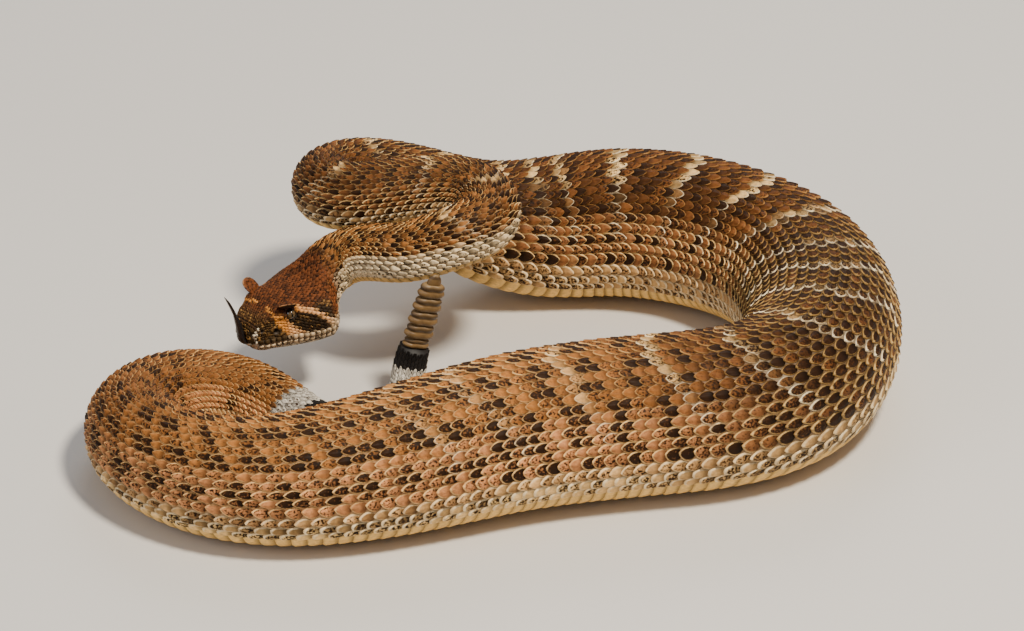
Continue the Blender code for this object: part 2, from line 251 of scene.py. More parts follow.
def addFloor():
    half = viewSettings["floorSize"] / 2
    low = -viewSettings["floorDrop"]
    material, tree, shader = newMaterial("paleFloor")
    patches = noise(tree, viewSettings["floorPatches"], 2.0)
    feed(shader["Base Color"], mixColour(patches, viewSettings["floorDark"], viewSettings["floorLight"]))
    feed(shader["Roughness"], viewSettings["floorRoughness"])
    corners = [(-half, -half, low), (half, -half, low), (half, half, low), (-half, half, low)]
    meshObject("floor", corners, [(0, 1, 2, 3)], material, smooth=False)


def addLights():
    for name, values in lampSettings["lamps"].items():
        data = bpy.data.lights.new(name, "AREA")
        data.shape = "DISK"
        data.size = values["size"]
        data.energy = values["power"]
        data.color = values["colour"]
        place = Vector(values["place"])
        standAt(bpy.data.objects.new(name, data), place, Vector(lampSettings["aim"]) - place)
    world = bpy.data.worlds.new("studio")
    world.use_nodes = True
    sky = world.node_tree.nodes["Background"].inputs
    feed(sky["Color"], lampSettings["sky"])
    feed(sky["Strength"], lampSettings["skyStrength"])
    bpy.context.scene.world = world


addCamera()
addFloor()
addLights()
print("camera, floor and lights set")


# the body's middle line, as the solids have it: x, y, height, half thickness in millimetres

bodyRoute = [
    (-70.3, 28.7, 47.5, 11.6), (-65.0, 31.3, 50.1, 11.6), (-57.6, 30.9, 53.1, 11.8), (-48.8, 27.0, 55.7, 12.1),
    (-39.5, 22.4, 58.3, 12.5), (-28.5, 21.1, 61.7, 12.9), (-18.0, 22.5, 65.4, 13.1), (-7.6, 28.4, 67.4, 13.2),
    (-3.2, 39.2, 69.2, 13.2), (-7.6, 50.2, 70.4, 13.3), (-18.0, 55.3, 70.9, 13.4), (-35.0, 55.0, 70.4, 13.6),
    (-53.0, 54.6, 68.0, 14.1), (-65.6, 59.5, 65.0, 14.6), (-71.4, 72.2, 62.6, 15.0), (-66.2, 84.2, 60.4, 15.4),
    (-53.0, 90.2, 57.2, 16.4), (-36.0, 90.2, 51.0, 19.3), (-18.0, 89.4, 41.8, 23.5), (-0.5, 90.7, 34.5, 27.0),
    (22.7, 96.2, 29.6, 30.0), (48.4, 98.3, 30.5, 31.3), (74.0, 95.0, 30.5, 31.9), (99.3, 83.6, 30.5, 32.0),
    (122.0, 61.5, 30.5, 32.0), (134.0, 29.4, 30.5, 32.0), (133.4, -6.7, 30.5, 32.0), (119.8, -37.2, 30.5, 32.0),
    (94.8, -54.2, 30.5, 32.2), (66.3, -60.8, 30.5, 32.3), (37.9, -66.2, 30.5, 32.2), (5.6, -75.7, 30.5, 31.6),
    (-26.4, -88.2, 29.0, 30.4), (-58.2, -99.2, 27.1, 28.4), (-87.6, -102.7, 25.0, 26.2), (-116.6, -94.6, 23.1, 24.2),
    (-139.0, -74.3, 21.0, 22.0), (-147.0, -49.1, 19.1, 20.0), (-138.6, -27.2, 17.4, 18.2), (-120.0, -16.6, 15.6, 16.3),
    (-99.6, -20.0, 13.7, 14.4), (-83.6, -32.6, 11.9, 12.5), (-70.5, -41.0, 10.5, 11.0), (-57.0, -38.5, 9.2, 9.6),
    (-47.0, -29.0, 8.0, 8.4), (-40.5, -17.5, 7.6, 7.7), (-37.4, -7.0, 10.6, 7.1), (-36.0, -1.4, 18.0, 6.8),
    (-34.0, -0.2, 26.0, 6.2),
]
bodySettings = {
    "step": 0.5,
    "curlStart": 0.9,
    "width": 1.02,
    "back": 0.98,
    "belly": 0.99,
    "bellyFlatness": 0.77,
    "skinStart": 2.0,
    "skinRings": 400,
    "skinSides": 96,
    "coatDepth": 0.9,
    "lowest": 0.1,
    "scuteEdge": 118.0,
}


def unit(rows):
    return rows / np.linalg.norm(rows, axis=1)[:, None]


def splineThrough(points, step):
    # a natural cubic spline through the points, read at even steps along its length
    knots = np.array(points, float)
    chords = np.linalg.norm(np.diff(knots[:, :3], axis=0), axis=1)
    t = np.concatenate([[0.0], np.cumsum(np.sqrt(chords))])
    h = np.diff(t)
    count = len(knots)
    system = np.eye(count)
    right = np.zeros_like(knots)
    for i in range(1, count - 1):
        system[i, i - 1:i + 2] = h[i - 1], 2.0 * (h[i - 1] + h[i]), h[i]
        right[i] = 6.0 * ((knots[i + 1] - knots[i]) / h[i] - (knots[i] - knots[i - 1]) / h[i - 1])
    bend = np.linalg.solve(system, right)
    s = np.linspace(0.0, t[-1], 40 * count)
    k = np.clip(np.searchsorted(t, s, side="right") - 1, 0, count - 2)
    a = ((t[k + 1] - s) / h[k])[:, None]
    b = ((s - t[k]) / h[k])[:, None]
    curve = a * knots[k] + b * knots[k + 1]
    curve += ((a**3 - a) * bend[k] + (b**3 - b) * bend[k + 1]) * h[k][:, None] ** 2 / 6.0
    arc = np.concatenate([[0.0], np.cumsum(np.linalg.norm(np.diff(curve[:, :3], axis=0), axis=1))])
    even = np.linspace(0.0, arc[-1], int(arc[-1] / step) + 1)
    return even, np.column_stack([np.interp(even, arc, curve[:, j]) for j in range(4)])


def makeBodyLine():
    arc, curve = splineThrough([[v * mm for v in row] for row in bodyRoute], bodySettings["step"] * mm)
    tangents = unit(np.gradient(curve[:, :3], axis=0))
    backs = np.zeros_like(tangents)
    up = np.array([0.0, 0.0, 1.0])
    for i, tangent in enumerate(tangents):
        if arc[i] > bodySettings["curlStart"] * arc[-1]:
            up = backs[i - 1]
        across = up - tangent * np.dot(up, tangent)
        backs[i] = across / np.linalg.norm(across)
    return {"arc": arc, "centre": curve[:, :3], "radius": curve[:, 3], "tangent": tangents, "back": backs}


bodyLine = makeBodyLine()
bodyLength = bodyLine["arc"][-1]


def readRadius(distance):
    return np.interp(distance, bodyLine["arc"], bodyLine["radius"])


def readLine(distance):
    # centre, tangent, back, side and radius at any distances along the body
    centre, tangent, back = (
        np.column_stack([np.interp(distance, bodyLine["arc"], bodyLine[name][:, j]) for j in range(3)])
        for name in ("centre", "tangent", "back")
    )
    tangent, back = unit(tangent), unit(back)
    return centre, tangent, back, unit(np.cross(tangent, back)), readRadius(distance)


def coatDepth(radius):
    return bodySettings["coatDepth"] * mm * np.clip(0.25 + 0.75 * radius / 0.03, 0.3, 1.0)


def bodySurface(distance, angle, lift):
    # places on the body: angle from the middle of the back, lift above the solid's own surface
    centre, _, back, side, radius = readLine(distance)
    across = bodySettings["width"] * radius * np.sin(angle)
    above = np.cos(angle)
    belly = -bodySettings["belly"] * radius * np.abs(above) ** bodySettings["bellyFlatness"]
    above = np.where(above > 0, bodySettings["back"] * radius * above, belly)
    grow = 1.0 + lift / np.hypot(across, above)
    points = centre + side * (across * grow)[:, None] + back * (above * grow)[:, None]
    points[:, 2] = np.maximum(points[:, 2], bodySettings["lowest"] * mm - np.minimum(lift, 0.0))
    return points


print("body line read, %.0f mm long" % (bodyLength / mm))


# rings of scales: how far apart they stand, and the guide that the coat is wrapped on

ringSettings = {
    "longPitch": 5.35,
    "shortPitch": 2.75,
    "fullRadius": 30.0,
    "thinRadius": 9.0,
    "guideSteps": 6,
    "guideStart": -3.0,
}


def ramp(value, low, high):
    share = np.clip((value - low) / (high - low), 0.0, 1.0)
    return share * share * (3.0 - 2.0 * share)


def ringPitch(radius):
    thin, full = ringSettings["thinRadius"], ringSettings["fullRadius"]
    share = np.clip((radius / mm - thin) / (full - thin), 0.0, 1.0)
    return (ringSettings["shortPitch"] + (ringSettings["longPitch"] - ringSettings["shortPitch"]) * share) * mm


ringAlong = np.concatenate([[0.0], np.cumsum(np.diff(bodyLine["arc"]) / ringPitch(bodyLine["radius"][1:]))])
ringCount = int(ringAlong[-1])


def ringDistance(ring):
    return np.interp(ring, ringAlong, bodyLine["arc"])


def makeGuide():
    start = ringSettings["guideStart"]
    rings = np.arange(start, ringCount - start, 1.0 / ringSettings["guideSteps"])
    centre, tangent, back, side, radius = readLine(ringDistance(rings))
    before = np.minimum(rings, 0.0)[:, None] * tangent * ringPitch(radius)[:, None]
    return pointsObject("bodyGuide", centre + before, {"back": back, "side": side, "girth": radius})


bodyGuide = makeGuide()
print("%d rings of scales" % ringCount)


# the markings: ground, dark spots and pale bars, by place along and round the body

tints = {
    "cream": (0.84, 0.55, 0.22),
    "white": (0.92, 0.75, 0.48),
    "belly": (0.80, 0.51, 0.17),
    "tan": (0.60, 0.31, 0.095),
    "lightOrange": (0.82, 0.47, 0.19),
    "orange": (0.53, 0.21, 0.050),
    "pink": (0.52, 0.22, 0.085),
    "brown": (0.045, 0.018, 0.006),
    "redBrown": (0.150, 0.054, 0.014),
    "dark": (0.007, 0.0035, 0.002),
    "speck": (0.024, 0.010, 0.004),
    "olive": (0.42, 0.26, 0.085),
    "tailPale": (0.52, 0.48, 0.41),
    "tailDark": (0.016, 0.014, 0.013),
    "crown": (0.160, 0.050, 0.015),
    "crownDark": (0.060, 0.021, 0.008),
    "mask": (0.026, 0.016, 0.008),
    # the snout tint: painted shade on the snout's front; the same tint darkens the face in front of the eye
    "snout": (0.050, 0.030, 0.012),
    "gold": (0.34, 0.19, 0.06),
    "stripe": (0.66, 0.27, 0.055),
    "stripePale": (0.74, 0.38, 0.16),
    "lip": (0.66, 0.49, 0.30),
    "chin": (0.78, 0.68, 0.50),
}
tints = {name: np.array(values) for name, values in tints.items()}
markSettings = {  # places along the body in millimetres, round it in degrees
    "bars": [
        -30.0, 0.0, 30.0, 58.0, 87.0, 116.0, 152.0, 195.0, 222.0, 248.0, 265.0, 282.0, 311.0, 342.0,
        374.0, 404.0, 431.0, 449.0, 469.0, 495.0, 527.0, 561.0, 602.0, 641.0, 670.0, 697.0, 724.0,
        752.0, 782.0, 812.0, 842.0, 1010.0,
    ],
    "leanAlong": (280.0, 374.0, 600.0),
    "barLean": (-0.1, 0.22, 0.3),
    "barsBetween": (25.0, 60.0, 650.0, 690.0),
    "neck": (40.0, 130.0),
    "loop": (200.0, 290.0),
    "bend": (385.0, 430.0, 500.0, 560.0),
    "warm": (510.0, 640.0),
    "hind": (730.0, 800.0),
    "flank": (46.0, 70.0),
    "low": (88.0, 104.0),
    "neckLow": 22.0,
    "spotRows": 19.0,
    "farRows": 30.0,
    "farFrom": 640.0,
    "firstRow": 14.0,
    "lastSpot": 108.0,
    "neckEnd": 222.0,
    "tailStart": 891.0,
    "tailBand": 11.1,
}


def layered(base, *coats):
    # one tint after another over a base, each with its share: tints are names or rows of colour
    base = tints[base] if isinstance(base, str) else base
    for tint, share in coats:
        tint = tints[tint] if isinstance(tint, str) else tint
        share = np.reshape(np.clip(share, 0.0, 1.0), (-1, 1))
        base = base * (1.0 - share) + tint * share
    return base


def barPhase(s):
    # counts the pale bars up to a place, and how far apart they stand there
    bars = np.array(markSettings["bars"])
    count = np.interp(s, bars, np.arange(len(bars)))
    return count, np.diff(bars)[np.clip(count.astype(int), 0, len(bars) - 2)]


def scatter(near, row, sign, seeds):
    # a fixed number between -0.5 and 0.5 for each spot
    value = np.sin(near * seeds[0] + row * seeds[1] + sign * seeds[2]) * seeds[3]
    return value - np.floor(value) - 0.5


def spotShare(s, degrees, sign, radius, shifted, girth):
    # 1 in the middle of a dark spot, 0 outside: spots stand in rows along the body, closer on the neck
    gap = np.where(shifted, markSettings["spotRows"], markSettings["farRows"])
    row = np.clip(np.round((degrees - markSettings["firstRow"]) / gap), 0.0, 4.0)
    count, period = barPhase(s)
    each = np.where(s < markSettings["neckEnd"], 4.0, 2.0)
    phase = count * each - 0.5 - np.where(shifted & (row % 2 == 1), 0.25, 0.0)
    near = np.round(phase)
    wobble = scatter(near, row, sign, (12.9898, 78.233, 3.1, 43758.5453))
    again = scatter(near, row, sign, (39.425, 11.13, 7.7, 24634.6345))
    along = (phase - near) * period / each + 5.2 / each * wobble
    across = (degrees - markSettings["firstRow"] - row * gap) * 0.0175 * girth + 2.0 * again
    return 1.0 - ramp(np.hypot(along, across), radius * (0.45 + 0.3 * again), radius * (1.45 + 0.3 * again))


def markings(distance, angle, chance, chanceB):
    # fill colour, rim colour and (darkness of the middle, rim width, rim strength) of each scale
    s = distance / mm
    degrees = np.abs(np.degrees(angle))
    along = np.interp(s, markSettings["leanAlong"], markSettings["barLean"])
    lean = s + along * np.clip(degrees - 10.0, 0.0, 60.0)
    phase, period = barPhase(lean)
    fromBar = np.abs(phase - np.round(phase)) * period
    girth = readRadius(distance)
    pitch = ringPitch(girth) / mm
    warm, hind = (ramp(s, *markSettings[name]) for name in ("warm", "hind"))
    neck, loop = (1.0 - ramp(s, *markSettings[name]) for name in ("neck", "loop"))
    bend, barred = (
        ramp(s, *markSettings[name][:2]) * (1.0 - ramp(s, *markSettings[name][2:])) for name in ("bend", "barsBetween")
    )
    flank = ramp(degrees, *markSettings["flank"])
    low = ramp(degrees, *(edge - markSettings["neckLow"] * neck for edge in markSettings["low"]))
    radius = pitch * (0.62 + 0.52 * warm + 0.2 * bend)
    spot = spotShare(lean, degrees, np.sign(angle), radius, s < markSettings["farFrom"], girth / mm)
    spot = spot * (degrees < markSettings["lastSpot"])
    bar = (1.0 - ramp(fromBar, 0.36 * pitch, 0.58 * pitch)) * barred
    barFill = bar * (1.0 - 0.9 * ramp(degrees, 18.0 + 30.0 * warm, 34.0 + 30.0 * warm))
    barFill = barFill * (1.0 - 0.65 * warm) * (1.0 - 0.35 * loop) * (1.0 - 0.7 * bend)
    solid = ramp(spot, 0.35, 0.9) * (0.92 - 0.72 * warm) * (1.0 - 0.35 * flank) * (1.0 - barFill)
    ground = layered(
        "brown",
        ("redBrown", (0.1 + 0.9 * chance) * (1.0 - 0.45 * bend)),
        ("orange", warm * (0.95 - 0.42 * chance)),
        ("redBrown", hind * 0.7),
        ("orange", neck * (0.14 + 0.26 * chance) + 0.12 * loop * chanceB),
    )
    side = layered("pink", ("redBrown", 0.3 + 0.6 * chance - 0.55 * warm))
    fill = layered(
        ground,
        (side, flank * (1.0 - 0.75 * bend) * (1.0 - 0.55 * hind) * (1.0 - 0.6 * loop)),
        ("cream", low * (0.5 + 0.5 * warm)),
        ("white", low * neck * 0.8),
        ("cream", barFill * (0.5 + 0.5 * chance)),
        (tints["pink"] * 1.4, warm * flank * (1.0 - low) * chanceB * 0.8),
        ("redBrown", spot * warm * 0.6),
        ("dark", solid),
    )
    # the rim tint is partly the scales' own pale edges and partly painted highlight on their lit tips and edges
    rim = layered(
        ground * 1.8,
        ("tan", 0.45 + 0.4 * loop + 0.3 * (chanceB > 0.6)),
        ("lightOrange", warm * (1.0 - 0.5 * hind)),
        ("cream", flank * (0.85 - 0.15 * warm)),
        ("cream", warm * (1.0 - flank) * (0.4 + 0.4 * chanceB) * (1.0 - 0.5 * hind)),
        ("cream", loop * (chanceB > 0.5) * 0.9),
        ("olive", bend * 0.75),
        ("white", low * 0.8),
        ("white", bar * (1.0 - 0.3 * warm) * (degrees < 78.0)),
    )
    middle = spot * (0.9 - 0.28 * warm * chance) * (1.0 - 0.5 * barFill)
    middle = np.maximum(middle, 0.1 + (0.3 - 0.08 * warm) * (chanceB > 0.5) + 0.2 * bend)
    speckled = low * (chanceB > 0.42) * (degrees < 116.0) * (1.0 - 0.5 * neck)
    middle = np.where(low > 0.5, 0.5 * speckled, middle)
    width = 0.24 + 0.1 * bend + 0.14 * flank + 0.16 * low + 0.08 * warm + 0.2 * (chance - 0.5)
    strength = 0.66 + 0.35 * flank + 0.2 * bend + 0.5 * bar + 0.2 * loop + 0.22 * warm
    tail = tailShare(s)
    pale = np.floor((s - markSettings["tailStart"]) / markSettings["tailBand"]).astype(int) % 2 == 0
    banded = np.where(pale[:, None], tints["tailPale"], tints["tailDark"])
    fill = layered(fill, (banded, tail)) * (0.7 + 0.45 * chance)[:, None]
    rim = layered(rim, (banded * 1.1, tail)) * (0.85 + 0.3 * chanceB)[:, None]
    middle = middle * (1.0 - tail) + 0.25 * tail * pale
    return fill, rim, np.column_stack([middle, width, np.clip(strength, 0.0, 1.0)])


def tailShare(s):
    return ramp(s, markSettings["tailStart"] - 2.0, markSettings["tailStart"])


print("markings ready")


# node trees that set a shape at every point; the result is always a plain mesh

def newTree(name, objects, numbers=()):
    tree = bpy.data.node_groups.new(name, "GeometryNodeTree")
    tree.interface.new_socket(name="Geometry", in_out="OUTPUT", socket_type="NodeSocketGeometry")
    sockets = [("Geometry", "Geometry"), ("Finish", "Material")]
    sockets += [(key, "Object") for key in objects] + [(key, "Float") for key in numbers]
    for key, kind in sockets:
        tree.interface.new_socket(name=key, in_out="INPUT", socket_type="NodeSocket" + kind)
    return tree, addNode(tree, "NodeGroupInput", output=None)


def named(tree, name, kind="FLOAT_VECTOR"):
    return addNode(tree, "GeometryNodeInputNamedAttribute", {"Name": name}, "Attribute", data_type=kind)


def objectShape(socket, asInstance):
    values = {"Object": socket, "As Instance": asInstance}
    return addNode(socket.id_data, "GeometryNodeObjectInfo", values, "Geometry", transform_space="ORIGINAL")


def spreadShapes(tree, source, size, axes=None):
    values = {
        "Points": addNode(tree, "GeometryNodeMeshToPoints", {0: source["Geometry"]}),
        "Instance": objectShape(source["Shape"], True),
        "Scale": size,
    }
    if axes:
        facing = {0: named(tree, axes[0]), 1: named(tree, axes[1])}
        values["Rotation"] = addNode(
            tree, "FunctionNodeAxesToRotation", facing, primary_axis="Z", secondary_axis="X"
        )
    spread = addNode(tree, "GeometryNodeInstanceOnPoints", values)
    return addNode(tree, "GeometryNodeRealizeInstances", {0: spread})


def finishTree(tree, source, geometry):
    values = {"Geometry": geometry, "Material": source["Finish"]}
    addNode(tree, "NodeGroupOutput", {0: addNode(tree, "GeometryNodeSetMaterial", values)}, None)
    return tree


def placeScales(tree, source, geometry, position):
    # each scale is a small patch of the bake map, at its root's place on the body's unwrap
    inner = vectorMaths("ADD", named(tree, "scaleShape"), (-0.5, -0.5, 0.0))
    patch = vectorMaths("ADD", named(tree, "bakePlace"), vectorMaths("SCALE", inner, source["Patch"]))
    values = {"Geometry": geometry, "Name": "OFBake", "Value": patch}
    baked = addNode(tree, "GeometryNodeStoreNamedAttribute", values, data_type="FLOAT2", domain="CORNER")
    moved = addNode(tree, "GeometryNodeSetPosition", {"Geometry": baked, "Position": position})
    return finishTree(tree, source, moved)


def runTree(item, tree, values):
    # inputs are set by identifier before the object is first evaluated
    modifier = item.modifiers.new(tree.name, "NODES")
    modifier.node_group = tree
    for entry in tree.interface.items_tree:
        if entry.in_out == "INPUT" and entry.name in values:
            modifier[entry.identifier] = values[entry.name]
    graph = bpy.context.evaluated_depsgraph_get()
    result = bpy.data.meshes.new_from_object(item.evaluated_get(graph))
    item.modifiers.clear()
    item.data = result


# the tree that wraps a flat sheet of scales round the body

def readGuide(guide, place, name, kind="FLOAT_VECTOR"):
    # the guide's value between its two nearest points
    tree = guide.id_data
    low = maths("FLOOR", place)
    source = addNode(tree, "GeometryNodeInputPosition") if name == "position" else named(tree, name, kind)
    found = []
    for index in (low, plus(low, 1.0)):
        values = {"Geometry": guide, "Value": source, "Index": index}
        found.append(addNode(
            tree, "GeometryNodeSampleIndex", values, "Value", data_type=kind, domain="POINT", clamp=True
        ))
    kind, first, output = ("VECTOR", 4, 1) if kind == "FLOAT_VECTOR" else ("FLOAT", 2, 0)
    values = {0: minus(place, low), first: found[0], first + 1: found[1]}
    return addNode(tree, "ShaderNodeMix", values, output, data_type=kind)


def makeCoatTree():
    sizes = ("Guide Start", "Guide Steps", "Depth", "Width", "Back", "Belly", "Belly Flatness", "Lowest", "Patch")
    tree, source = newTree("scaleCoat", ("Guide", "Shape"), sizes)
    solid = spreadShapes(tree, source, named(tree, "sheetSize"))
    # the flat sheet: x is the ring, y the angle round the body, z the height in the coat
    ring, angle, height = split(addNode(tree, "GeometryNodeInputPosition"))
    place = times(minus(ring, source["Guide Start"]), source["Guide Steps"])
    guide = objectShape(source["Guide"], False)
    centre, back, side = (readGuide(guide, place, name) for name in ("position", "back", "side"))
    girth = readGuide(guide, place, "girth", "FLOAT")
    cosine = maths("COSINE", angle)
    across = times(maths("SINE", angle), girth, source["Width"])
    upper = times(cosine, girth, source["Back"])
    flatter = maths("POWER", maths("ABSOLUTE", cosine), source["Belly Flatness"])
    lower = times(flatter, girth, times(source["Belly"], -1.0))
    below = maths("LESS_THAN", cosine, 0.0)
    above = addNode(tree, "ShaderNodeMix", {0: below, 2: upper, 3: lower}, data_type="FLOAT")
    reach = maths("SQRT", plus(times(across, across), times(above, above)))
    thin = maths("MINIMUM", maths("MAXIMUM", maths("MULTIPLY_ADD", girth, 25.0, 0.25), 0.3), 1.0)
    lift = times(minus(height, 1.0), times(source["Depth"], thin))
    grow = plus(maths("DIVIDE", lift, reach), 1.0)
    wrapped = vectorMaths("ADD", centre, vectorMaths("SCALE", side, times(across, grow)))
    wrapped = vectorMaths("ADD", wrapped, vectorMaths("SCALE", back, times(above, grow)))
    x, y, z = split(wrapped)
    high = maths("MAXIMUM", z, minus(source["Lowest"], maths("MINIMUM", lift, 0.0)))
    return placeScales(tree, source, solid, addNode(tree, "ShaderNodeCombineXYZ", {0: x, 1: y, 2: high}))


# one scale or plate: a domed sheet with one face under it; b runs from -1 to 1 across

def scaleWidth(share):
    # half width of an ovate scale with a blunt point
    if share < 0.38:
        return 0.55 * math.sqrt(1.0 - (1.0 - share / 0.38) ** 2.0 * 0.75)
    return 0.55 * max(0.0, 1.0 - ((share - 0.38) / 0.62) ** 1.75) ** 0.85


def keeledHeight(share, b):
    keel = 0.5 * math.exp(-(b / 0.16) ** 2) * min(1.0, share * 2.0) * (1.0 - max(0.0, share - 0.85) * 3.0)
    return (0.2 + 1.05 * share ** 0.9) * (1.0 - 0.62 * b * b) + keel


def headHeight(share, b):
    keel = 0.35 * math.exp(-(b / 0.22) ** 2) * math.sin(math.pi * share)
    return (0.35 + 0.65 * share) * (1.0 - 0.45 * b * b) + keel


def flatHeight(fall):
    return lambda share, b: (1.0 - fall * (2 * share - 1) ** 4) * (1.0 - fall * b ** 4)


coatReach, headReach = (-0.12, 1.34), (-0.5, 1.0)
coatEdges, headEdges = (-0.1, 0.1), (-0.15, -0.15)
scaleShapes = {  # half width, height, faces along and across, start and length, heights of the edge
    "pointed": (scaleWidth, keeledHeight, 9, 8, coatReach, coatEdges),
    "rounded": (
        lambda share: 0.56 * math.sqrt(max(0.0, 1.0 - abs((share - 0.46) / 0.56) ** 2.6)),
        lambda share, b: (0.2 + 1.0 * share ** 0.9) * (1.0 - 0.5 * b * b),
        9, 8, coatReach, coatEdges,
    ),
    "belly": (
        lambda share: 0.5 * (1.0 - 0.05 * share),
        lambda share, b: (0.3 + 0.75 * share ** 0.8) * (1.0 - 0.3 * abs(b) ** 6),
        5, 26, (-0.1, 1.22), coatEdges,
    ),
    "head": (scaleWidth, headHeight, 7, 6, headReach, headEdges),
    "lip": (
        lambda share: 0.5 * (1.0 - 0.25 * abs(2 * share - 1) ** 6), flatHeight(0.3), 6, 6, headReach, headEdges,
    ),
    "face": (
        lambda share: 0.5 * (1.0 - abs(2 * share - 1) ** 3.2) ** 0.5, flatHeight(0.35), 9, 8, headReach, headEdges,
    ),
}


def makeShape(name):
    width, height, along, across, (root, length), edges = scaleShapes[name]
    vertices, shapes = [], []
    for i in range(along + 1):
        spread = 1.0 - (1.0 - i / along) ** 1.15
        half = max(width(spread), 0.03)
        for j in range(across + 1):
            b = 2.0 * j / across - 1.0
            b = math.copysign(abs(b) ** 0.85, b)
            bent = 0.0 if 0 < i < along else 0.02 * (1.0 - b * b)
            x = root + length * (spread + (bent if i else -bent))
            inside = 0 < i < along and 0 < j < across
            z = height(spread, b) if inside else edges[0 if spread < 0.5 else 1]
            vertices.append((x, b * half, z))
            shapes.append((0.5 + 0.5 * b, spread))
    row = across + 1
    faces = [(a, a + 1, a + 1 + row, a + row) for i in range(along) for a in range(i * row, i * row + across)]
    edge = list(range(row)) + [i * row + across for i in range(1, along + 1)]
    edge += [along * row + j for j in range(across - 1, -1, -1)] + [i * row for i in range(along - 1, 0, -1)]
    item = meshObject(name + "Scale", vertices, faces + [tuple(edge[::-1])])
    layer = item.data.uv_layers.new(name="scaleShape")
    for loop in item.data.loops:
        layer.data[loop.index].uv = shapes[loop.vertex_index]
    if edges == headEdges:  # head plates keep their height as a named value
        storeValues(item.data, {"lift": [v[2] for v in vertices]})
    return item


print("scale shapes ready")


# materials that read the markings stored on the mesh

scaleLook = {
    "shine": 0.07,
    "speckle": 1000.0,
    "fine": 2600.0,
    "mottle": 620.0,
    "mottleDark": (0.42, 0.36, 0.32, 1.0),
    "mottleLight": (1.6, 1.62, 1.62, 1.0),
    "patch": 330.0,
    "grain": 4200.0,
    "grainDepth": 0.00008,
}
skinLook = {
    "mottle": 1400.0,
    "mottleDark": (0.7, 0.68, 0.66, 1.0),
    "mottleLight": (1.25, 1.22, 1.2, 1.0),
    "roughness": 0.62,
    "crease": 3200.0,
    "creaseDepth": 0.00015,
}


def makeScaleMaterial():
    # pale rim (partly painted highlight), speckled middle and painted shade at the root, all from each scale's own map
    # and stored tints
    material, tree, shader = newMaterial("snakeScale")
    x, y, _ = split(addNode(tree, "ShaderNodeUVMap", uv_map="scaleShape"))
    sideways = maths("ABSOLUTE", minus(times(x, 2.0), 1.0))
    ahead = times(maths("MAXIMUM", minus(y, 0.3), 0.0), 1.43)
    middle, width, strength = split(attribute(tree, "scaleMarks", "Vector"))
    outward = plus(maths("POWER", sideways, 3.0), maths("POWER", ahead, 4.0))
    outward = plus(outward, times(minus(noise(tree, scaleLook["fine"], 2.0), 0.5), 0.5))
    # the rim share, strongest at the tip, is partly pale scale edge and partly painted highlight
    rimShare = remap(minus(outward, minus(0.7, times(width, 0.6))), -0.12, 0.2)
    patchy = remap(noise(tree, scaleLook["patch"]), 0.36, 0.6, 0.4, 1.0)
    cover = remap(plus(noise(tree, scaleLook["speckle"]), times(middle, 0.42)), 0.6, 0.76)
    cover = times(cover, remap(outward, 0.8, 0.4), maths("MINIMUM", times(middle, 4.0), 1.0))
    shade = noise(tree, scaleLook["mottle"])
    mottle = mixColour(shade, scaleLook["mottleDark"], scaleLook["mottleLight"])
    colour = mixColour(1.0, attribute(tree, "scaleTint"), mottle, "MULTIPLY")
    colour = mixColour(cover, colour, (*tints["speck"], 1.0))
    colour = mixColour(times(rimShare, patchy, strength), colour, attribute(tree, "rimTint"))
    # painted shade: the colour is darkened towards each scale's root, where the tip of the scale before it would cast
    # shade
    feed(shader["Base Color"], mixColour(1.0, colour, remap(y, 0.15, 0.55, 0.4, 1.0), "MULTIPLY"))
    feed(shader["Specular IOR Level"], scaleLook["shine"])
    feed(shader["Roughness"], remap(shade, 0.2, 0.8, 0.45, 0.62))
    addBump(shader, noise(tree, scaleLook["grain"], 2.0), 0.5, scaleLook["grainDepth"])
    return material


def makeSkinMaterial():
    # the bare skin between the scales, with fine creases
    material, tree, shader = newMaterial("snakeSkin")
    shade = mixColour(noise(tree, skinLook["mottle"], 4.0), skinLook["mottleDark"], skinLook["mottleLight"])
    feed(shader["Base Color"], mixColour(1.0, attribute(tree, "skinTint"), shade, "MULTIPLY"))
    feed(shader["Roughness"], skinLook["roughness"])
    addBump(shader, noise(tree, skinLook["crease"]), 0.6, skinLook["creaseDepth"])
    return material


scaleMaterial = makeScaleMaterial()
skinMaterial = makeSkinMaterial()


# the body's coat: staggered rings of keeled scales, and one belly plate to a ring

coatSettings = {
    "piecePoints": 1040,
    "rows": ((19.0, 29), (12.5, 25), (9.5, 21), (0.0, 17)),  # above a radius, how many rows
    "frontRows": 25,  # the fewest rows before the distance below, in metres
    "frontEnd": 0.4,
    "roundFrom": 103.0,
    "patch": 0.003,
    "bellyHigh": 0.95,
    "bellyWide": 1.1,
}
scuteEdge = math.radians(bodySettings["scuteEdge"])


def scaleSeeds():
    # one seed for each scale: ring, angle, row step and three random numbers
    rng = np.random.default_rng(11)
    seeds = []
    for ring in range(ringCount):
        distance = ringDistance(ring)
        radius = readRadius(distance) / mm
        rows = next(count for limit, count in coatSettings["rows"] if radius > limit)
        if distance < coatSettings["frontEnd"]:
            rows = max(rows, coatSettings["frontRows"])
        step = 2.0 * scuteEdge / rows
        half = (rows - 1) // 2
        for row in range(-half, half + 1):
            seeds.append((ring + (0.5 if row % 2 else 0.0), row * step, step, *rng.random(3)))
    return np.array(seeds)


